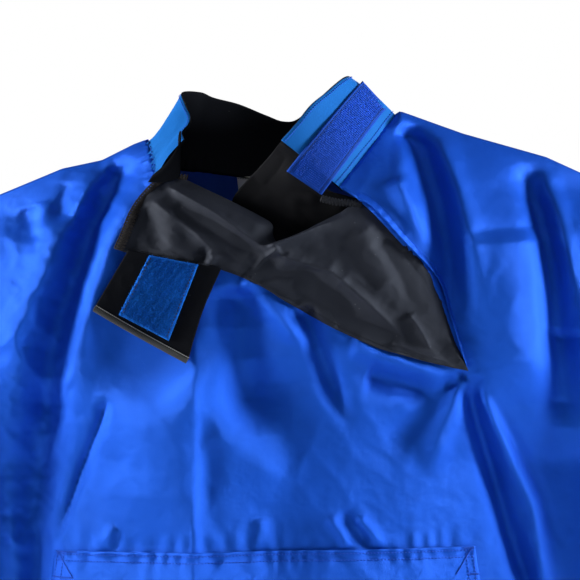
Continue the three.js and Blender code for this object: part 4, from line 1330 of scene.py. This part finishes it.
def build_waistband(mats, s):
    """The stretch waistband, gathered in fine upright ribs."""
    turn = np.linspace(0, 2 * math.pi, 361)[:-1]
    t = np.linspace(0, 1, 31)
    x = (CHEST_HALF - 0.6) * np.cos(turn)
    y = 59.4 * np.sign(np.sin(turn)) * np.sin(turn) ** 2
    ring = np.stack([x, y, np.zeros(360)], axis=1)
    tangent = np.roll(ring, -1, axis=0) - np.roll(ring, 1, axis=0)
    outward = unit(np.cross(tangent, (0, 0, 1.0)))
    outward *= np.where((outward * ring).sum(1, keepdims=True) < 0, -1, 1)
    heights = BAND_TOP - 0.2 + (BAND_FOOT - BAND_TOP + 0.4) * t
    grid = ring[None] + np.array((0, 0, 1.0)) * heights[:, None, None]
    ribs = 0.55 * np.cos(turn * 90)[None, :] * np.sin(math.pi * np.clip(t, 0.06, 0.94))[:, None]
    rolls = 0.5 * np.cos(t * 2 * math.pi * 4)[:, None] - 0.8
    rolls = rolls + 0.4 * crumple(x[None, :], t[:, None] * 52, 30, 97)
    grid = grid + outward[None] * (ribs + rolls)[..., None]
    sign = 1 if (grid_normals(grid, True, 1)[15, 90] * outward[90]).sum() > 0 else -1
    band = cloth("Waistband", grid, 2.6, [mats["neoprene"]], sign, True, None, (0, 0, 0))
    finish_piece(band, "shell", ["waistband"])
    for word, at in (("Upper", 3), ("Lower", 27)):
        line = np.concatenate([grid[at], grid[at][:1]])
        face = np.concatenate([outward, outward[:1]])
        row = stitches(f"Waistband {word} Stitches", line + face * 0.25, face, 4.0, 2.8, 0.42,
                       mats["dark_thread"])
        finish_piece(row, "shell")
    return band


def build_label(mats, s):
    """The blank label sewn inside the back of the neck."""
    a = np.linspace(0, 1, 31)[:, None] * np.ones(25)
    b = np.linspace(0, 1, 25)[None, :] * np.ones((31, 1))
    x, z = -30.5 + 26 * a + 2 * b, -40.5 - 20 * b - 1.2 * a
    depth = half_depth(x, z) - 5.2 - 2.4 * b * (0.5 + 0.5 * np.sin(3.4 * a)) + 0.2 * crumple(x, z, 7, 99)
    grid = np.stack([x, depth, z], axis=-1)
    sign = 1 if grid_normals(grid, False, 1)[15, 12, 1] < 0 else -1
    label = cloth("Blank Neck Label", grid, 0.4, [mats["label"]], sign, False, None, (0, 0, 0))
    finish_piece(label, "shell", ["neck_label"])
    row = stitches("Label Stitches", grid[:, 2] + np.array((0, -0.3, 0)), (0, -1, 0), 2.2, 1.6, 0.26,
                   mats["pale_thread"])
    finish_piece(row, "shell")
    return label


# ---------------------------------------------------------------- stage


def build_stage(s):
    """Camera, soft lights, pale floor and a white surround."""
    scene = bpy.context.scene
    scene.view_settings.view_transform = "Standard"
    scene.view_settings.look = "None"
    camera_data = bpy.data.cameras.new("Camera")
    camera_data.lens = 146.0
    camera_data.sensor_width = 36.0
    camera = bpy.data.objects.new("Camera", camera_data)
    camera.location = (0.017, -2.065, -0.142)
    camera.rotation_euler = (math.radians(90), 0, 0)
    scene.collection.objects.link(camera)
    scene.camera = camera
    lamps = (
        ("Key", (-2.4, -0.24, 0.35), 0.8, s.key_power, (1.0, 0.985, 0.96)),
        ("Side", (2.4, -0.24, 0.15), 0.8, s.key_power * 0.98, (0.97, 0.985, 1.0)),
        ("Top", (0.1, -0.9, 2.1), 1.0, s.key_power * 0.08, (1.0, 1.0, 1.0)),
        ("Back", (0.6, 2.2, 0.9), 1.6, s.key_power * 0.3, (1.0, 1.0, 1.0)),
    )
    for name, place, size, power, colour in lamps:
        data = bpy.data.lights.new(name, "AREA")
        data.shape = "DISK"
        data.size = size
        data.energy = power
        data.color = colour
        lamp = bpy.data.objects.new(name, data)
        lamp.location = place
        aim = Vector((0.0, 0.0, -0.2)) - Vector(place)
        lamp.rotation_euler = aim.to_track_quat("-Z", "Y").to_euler()
        scene.collection.objects.link(lamp)
    mesh = bpy.data.meshes.new("Floor")
    mesh.from_pydata([(-2.5, -2.4, -0.96), (2.5, -2.4, -0.96), (2.5, 2.4, -0.96), (-2.5, 2.4, -0.96)], [],
                     [[0, 1, 2, 3]])
    floor = bpy.data.objects.new("Floor", mesh)
    scene.collection.objects.link(floor)
    finish = bpy.data.materials.new("Pale Floor")
    finish.use_nodes = True
    finish.node_tree.nodes["Principled BSDF"].inputs["Base Color"].default_value = (0.8, 0.8, 0.8, 1)
    finish.node_tree.nodes["Principled BSDF"].inputs["Roughness"].default_value = 0.7
    mesh.materials.append(finish)
    world = bpy.data.worlds.new("Surround")
    scene.world = world
    world.use_nodes = True
    tree = world.node_tree
    tree.nodes.clear()
    path = tree.nodes.new("ShaderNodeLightPath")
    seen, lit = tree.nodes.new("ShaderNodeBackground"), tree.nodes.new("ShaderNodeBackground")
    seen.inputs[0].default_value = (1, 1, 1, 1)
    seen.inputs[1].default_value = 1.0
    lit.inputs[0].default_value = (0.93, 0.96, 1.0, 1)
    lit.inputs[1].default_value = s.surround_light
    mix, end = tree.nodes.new("ShaderNodeMixShader"), tree.nodes.new("ShaderNodeOutputWorld")
    tree.links.new(path.outputs["Is Camera Ray"], mix.inputs[0])
    tree.links.new(lit.outputs[0], mix.inputs[1])
    tree.links.new(seen.outputs[0], mix.inputs[2])
    tree.links.new(mix.outputs[0], end.inputs[0])


# ---------------------------------------------------------------- add-on


def colour_setting(name, description, default):
    """A colour among the jacket's settings."""
    return bpy.props.FloatVectorProperty(name=name, description=description, subtype="COLOR", size=3, min=0,
                                         max=1, default=default)


def length_setting(name, description, default):
    """A small length, in metres, among the jacket's settings."""
    return bpy.props.FloatProperty(name=name, description=description, subtype="DISTANCE", unit="LENGTH",
                                   min=0.0001, soft_max=0.01, precision=4, default=default)


class JacketSettings(bpy.types.PropertyGroup):
    """Sizes, colours and light of the jacket"""

    nylon_colour: colour_setting("Nylon", "Colour of the body, sleeves and pocket", (0.010, 0.100, 0.70))
    lining_colour: colour_setting("Nylon Inside", "Colour of the body's inner face", (0.020, 0.095, 0.52))
    collar_colour: colour_setting("Collar", "Colour of the collar's outer face", (0.007, 0.13, 0.48))
    hook_colour: colour_setting("Hook Tape", "Colour of the hook tape", (0.007, 0.058, 0.42))
    loop_colour: colour_setting("Loop Patch", "Colour of the loop patch", (0.006, 0.120, 0.56))
    gusset_colour: colour_setting("Gusset", "Colour of the neck insert", (0.010, 0.012, 0.021))
    edge_colour: colour_setting("Overlock", "Colour of the overlocked edges", (0.012, 0.010, 0.011))
    neoprene_colour: colour_setting("Foam Cloth", "Colour of the collar lining, cuffs and waistband",
                                    (0.004, 0.005, 0.008))
    binding_colour: colour_setting("Binding", "Colour of the bound edge", (0.07, 0.075, 0.08))
    label_colour: colour_setting("Label", "Colour of the blank label", (0.95, 0.95, 0.93))
    thread_colour: colour_setting("Thread", "Colour of the seams on the nylon", (0.012, 0.095, 0.66))
    cloth_thickness: length_setting("Cloth Thickness", "Thickness of the nylon", 0.0006)
    pile_height: length_setting("Pile Height", "Height of the loop pile", 0.0011)
    key_power: bpy.props.FloatProperty(name="Key Light", description="Power of the main light",
                                       subtype="POWER", unit="POWER", min=0, default=96.0)
    surround_light: bpy.props.FloatProperty(name="Surround",
                                            description="Strength of the light from all round",
                                            min=0, max=4, default=0.08)


def materials_of(settings):
    """The jacket's finishes, built the first time they are asked for."""
    if not FINISHES:
        FINISHES.update(build_materials(settings))
    return FINISHES


FINISHES = {}


class JACKET_OT_front(bpy.types.Operator):
    """Build the front of the body with its neck hole and slit edge"""

    bl_idname = "jacket.front"
    bl_label = "Body Front"
    bl_options = {"REGISTER", "UNDO"}

    def execute(self, context):
        settings = context.scene.jacket
        build_front(materials_of(settings), settings)
        return {"FINISHED"}


class JACKET_OT_back(bpy.types.Operator):
    """Build the gathered back of the body and its seams"""

    bl_idname = "jacket.back"
    bl_label = "Body Back"
    bl_options = {"REGISTER", "UNDO"}

    def execute(self, context):
        settings = context.scene.jacket
        build_back(materials_of(settings), settings)
        return {"FINISHED"}


class JACKET_OT_collar(bpy.types.Operator):
    """Build the standing collar with its turned-out end"""

    bl_idname = "jacket.collar"
    bl_label = "Collar"
    bl_options = {"REGISTER", "UNDO"}

    def execute(self, context):
        settings = context.scene.jacket
        build_collar(materials_of(settings), settings)
        return {"FINISHED"}


class JACKET_OT_hook_strip(bpy.types.Operator):
    """Build the hook tape on the collar's front end"""

    bl_idname = "jacket.hook_strip"
    bl_label = "Hook Tape"
    bl_options = {"REGISTER", "UNDO"}

    def execute(self, context):
        settings = context.scene.jacket
        build_hook_strip(materials_of(settings), settings)
        return {"FINISHED"}


class JACKET_OT_gusset(bpy.types.Operator):
    """Build the neck insert and its overlocked end"""

    bl_idname = "jacket.gusset"
    bl_label = "Neck Gusset"
    bl_options = {"REGISTER", "UNDO"}

    def execute(self, context):
        settings = context.scene.jacket
        build_gusset(materials_of(settings), settings)
        return {"FINISHED"}


class JACKET_OT_tab(bpy.types.Operator):
    """Build the turned-out tab with its loop patch and bound end"""

    bl_idname = "jacket.tab"
    bl_label = "Collar Tab"
    bl_options = {"REGISTER", "UNDO"}

    def execute(self, context):
        settings = context.scene.jacket
        build_tab(materials_of(settings), settings)
        return {"FINISHED"}


class JACKET_OT_pocket(bpy.types.Operator):
    """Build the chest pocket and its stitching"""

    bl_idname = "jacket.pocket"
    bl_label = "Chest Pocket"
    bl_options = {"REGISTER", "UNDO"}

    def execute(self, context):
        settings = context.scene.jacket
        build_pocket(materials_of(settings), settings)
        return {"FINISHED"}


class JACKET_OT_sleeves(bpy.types.Operator):
    """Build both sleeves"""

    bl_idname = "jacket.sleeves"
    bl_label = "Sleeves"
    bl_options = {"REGISTER", "UNDO"}

    def execute(self, context):
        settings = context.scene.jacket
        build_sleeves(materials_of(settings), settings)
        return {"FINISHED"}


class JACKET_OT_cuffs(bpy.types.Operator):
    """Build both foam cuffs with their closures"""

    bl_idname = "jacket.cuffs"
    bl_label = "Cuffs"
    bl_options = {"REGISTER", "UNDO"}

    def execute(self, context):
        settings = context.scene.jacket
        build_cuffs(materials_of(settings), settings)
        return {"FINISHED"}


class JACKET_OT_waistband(bpy.types.Operator):
    """Build the ribbed waistband"""

    bl_idname = "jacket.waistband"
    bl_label = "Waistband"
    bl_options = {"REGISTER", "UNDO"}

    def execute(self, context):
        settings = context.scene.jacket
        build_waistband(materials_of(settings), settings)
        return {"FINISHED"}


class JACKET_OT_label(bpy.types.Operator):
    """Build the blank label inside the neck"""

    bl_idname = "jacket.label"
    bl_label = "Neck Label"
    bl_options = {"REGISTER", "UNDO"}

    def execute(self, context):
        settings = context.scene.jacket
        build_label(materials_of(settings), settings)
        return {"FINISHED"}


class JACKET_OT_stage(bpy.types.Operator):
    """Set up the camera, lights, floor and surround"""

    bl_idname = "jacket.stage"
    bl_label = "Camera and Light"
    bl_options = {"REGISTER", "UNDO"}

    def execute(self, context):
        build_stage(context.scene.jacket)
        return {"FINISHED"}


class JACKET_PT_panel(bpy.types.Panel):
    """The jacket's settings and pieces"""

    bl_idname = "JACKET_PT_panel"
    bl_label = "Paddling Jacket"
    bl_space_type = "VIEW_3D"
    bl_region_type = "UI"
    bl_category = "Jacket"

    def draw(self, context):
        column = self.layout.column()
        for name in JacketSettings.__annotations__:
            column.prop(context.scene.jacket, name)
        for operator in PIECES:
            column.operator(operator.bl_idname)


PIECES = (
    JACKET_OT_front,
    JACKET_OT_back,
    JACKET_OT_collar,
    JACKET_OT_hook_strip,
    JACKET_OT_gusset,
    JACKET_OT_tab,
    JACKET_OT_pocket,
    JACKET_OT_sleeves,
    JACKET_OT_cuffs,
    JACKET_OT_waistband,
    JACKET_OT_label,
    JACKET_OT_stage,
)


def register():
    """Add the settings, the operators and the panel."""
    bpy.utils.register_class(JacketSettings)
    for operator in PIECES:
        bpy.utils.register_class(operator)
    bpy.utils.register_class(JACKET_PT_panel)
    bpy.types.Scene.jacket = bpy.props.PointerProperty(type=JacketSettings)


def unregister():
    """Take the panel, the operators and the settings away again."""
    del bpy.types.Scene.jacket
    bpy.utils.unregister_class(JACKET_PT_panel)
    for operator in reversed(PIECES):
        bpy.utils.unregister_class(operator)
    bpy.utils.unregister_class(JacketSettings)


def corners(bounds):
    """The corners of a box as lists of plain numbers."""
    return [[float(c) for c in point] for point in bounds]


def main():
    """Build every piece."""
    register()
    bpy.ops.jacket.front()
    bpy.ops.jacket.back()
    bpy.ops.jacket.collar()
    bpy.ops.jacket.hook_strip()
    bpy.ops.jacket.gusset()
    bpy.ops.jacket.tab()
    bpy.ops.jacket.pocket()
    bpy.ops.jacket.sleeves()
    bpy.ops.jacket.cuffs()
    bpy.ops.jacket.waistband()
    bpy.ops.jacket.label()
    bpy.ops.jacket.stage()


if __name__ == "__main__":
    main()
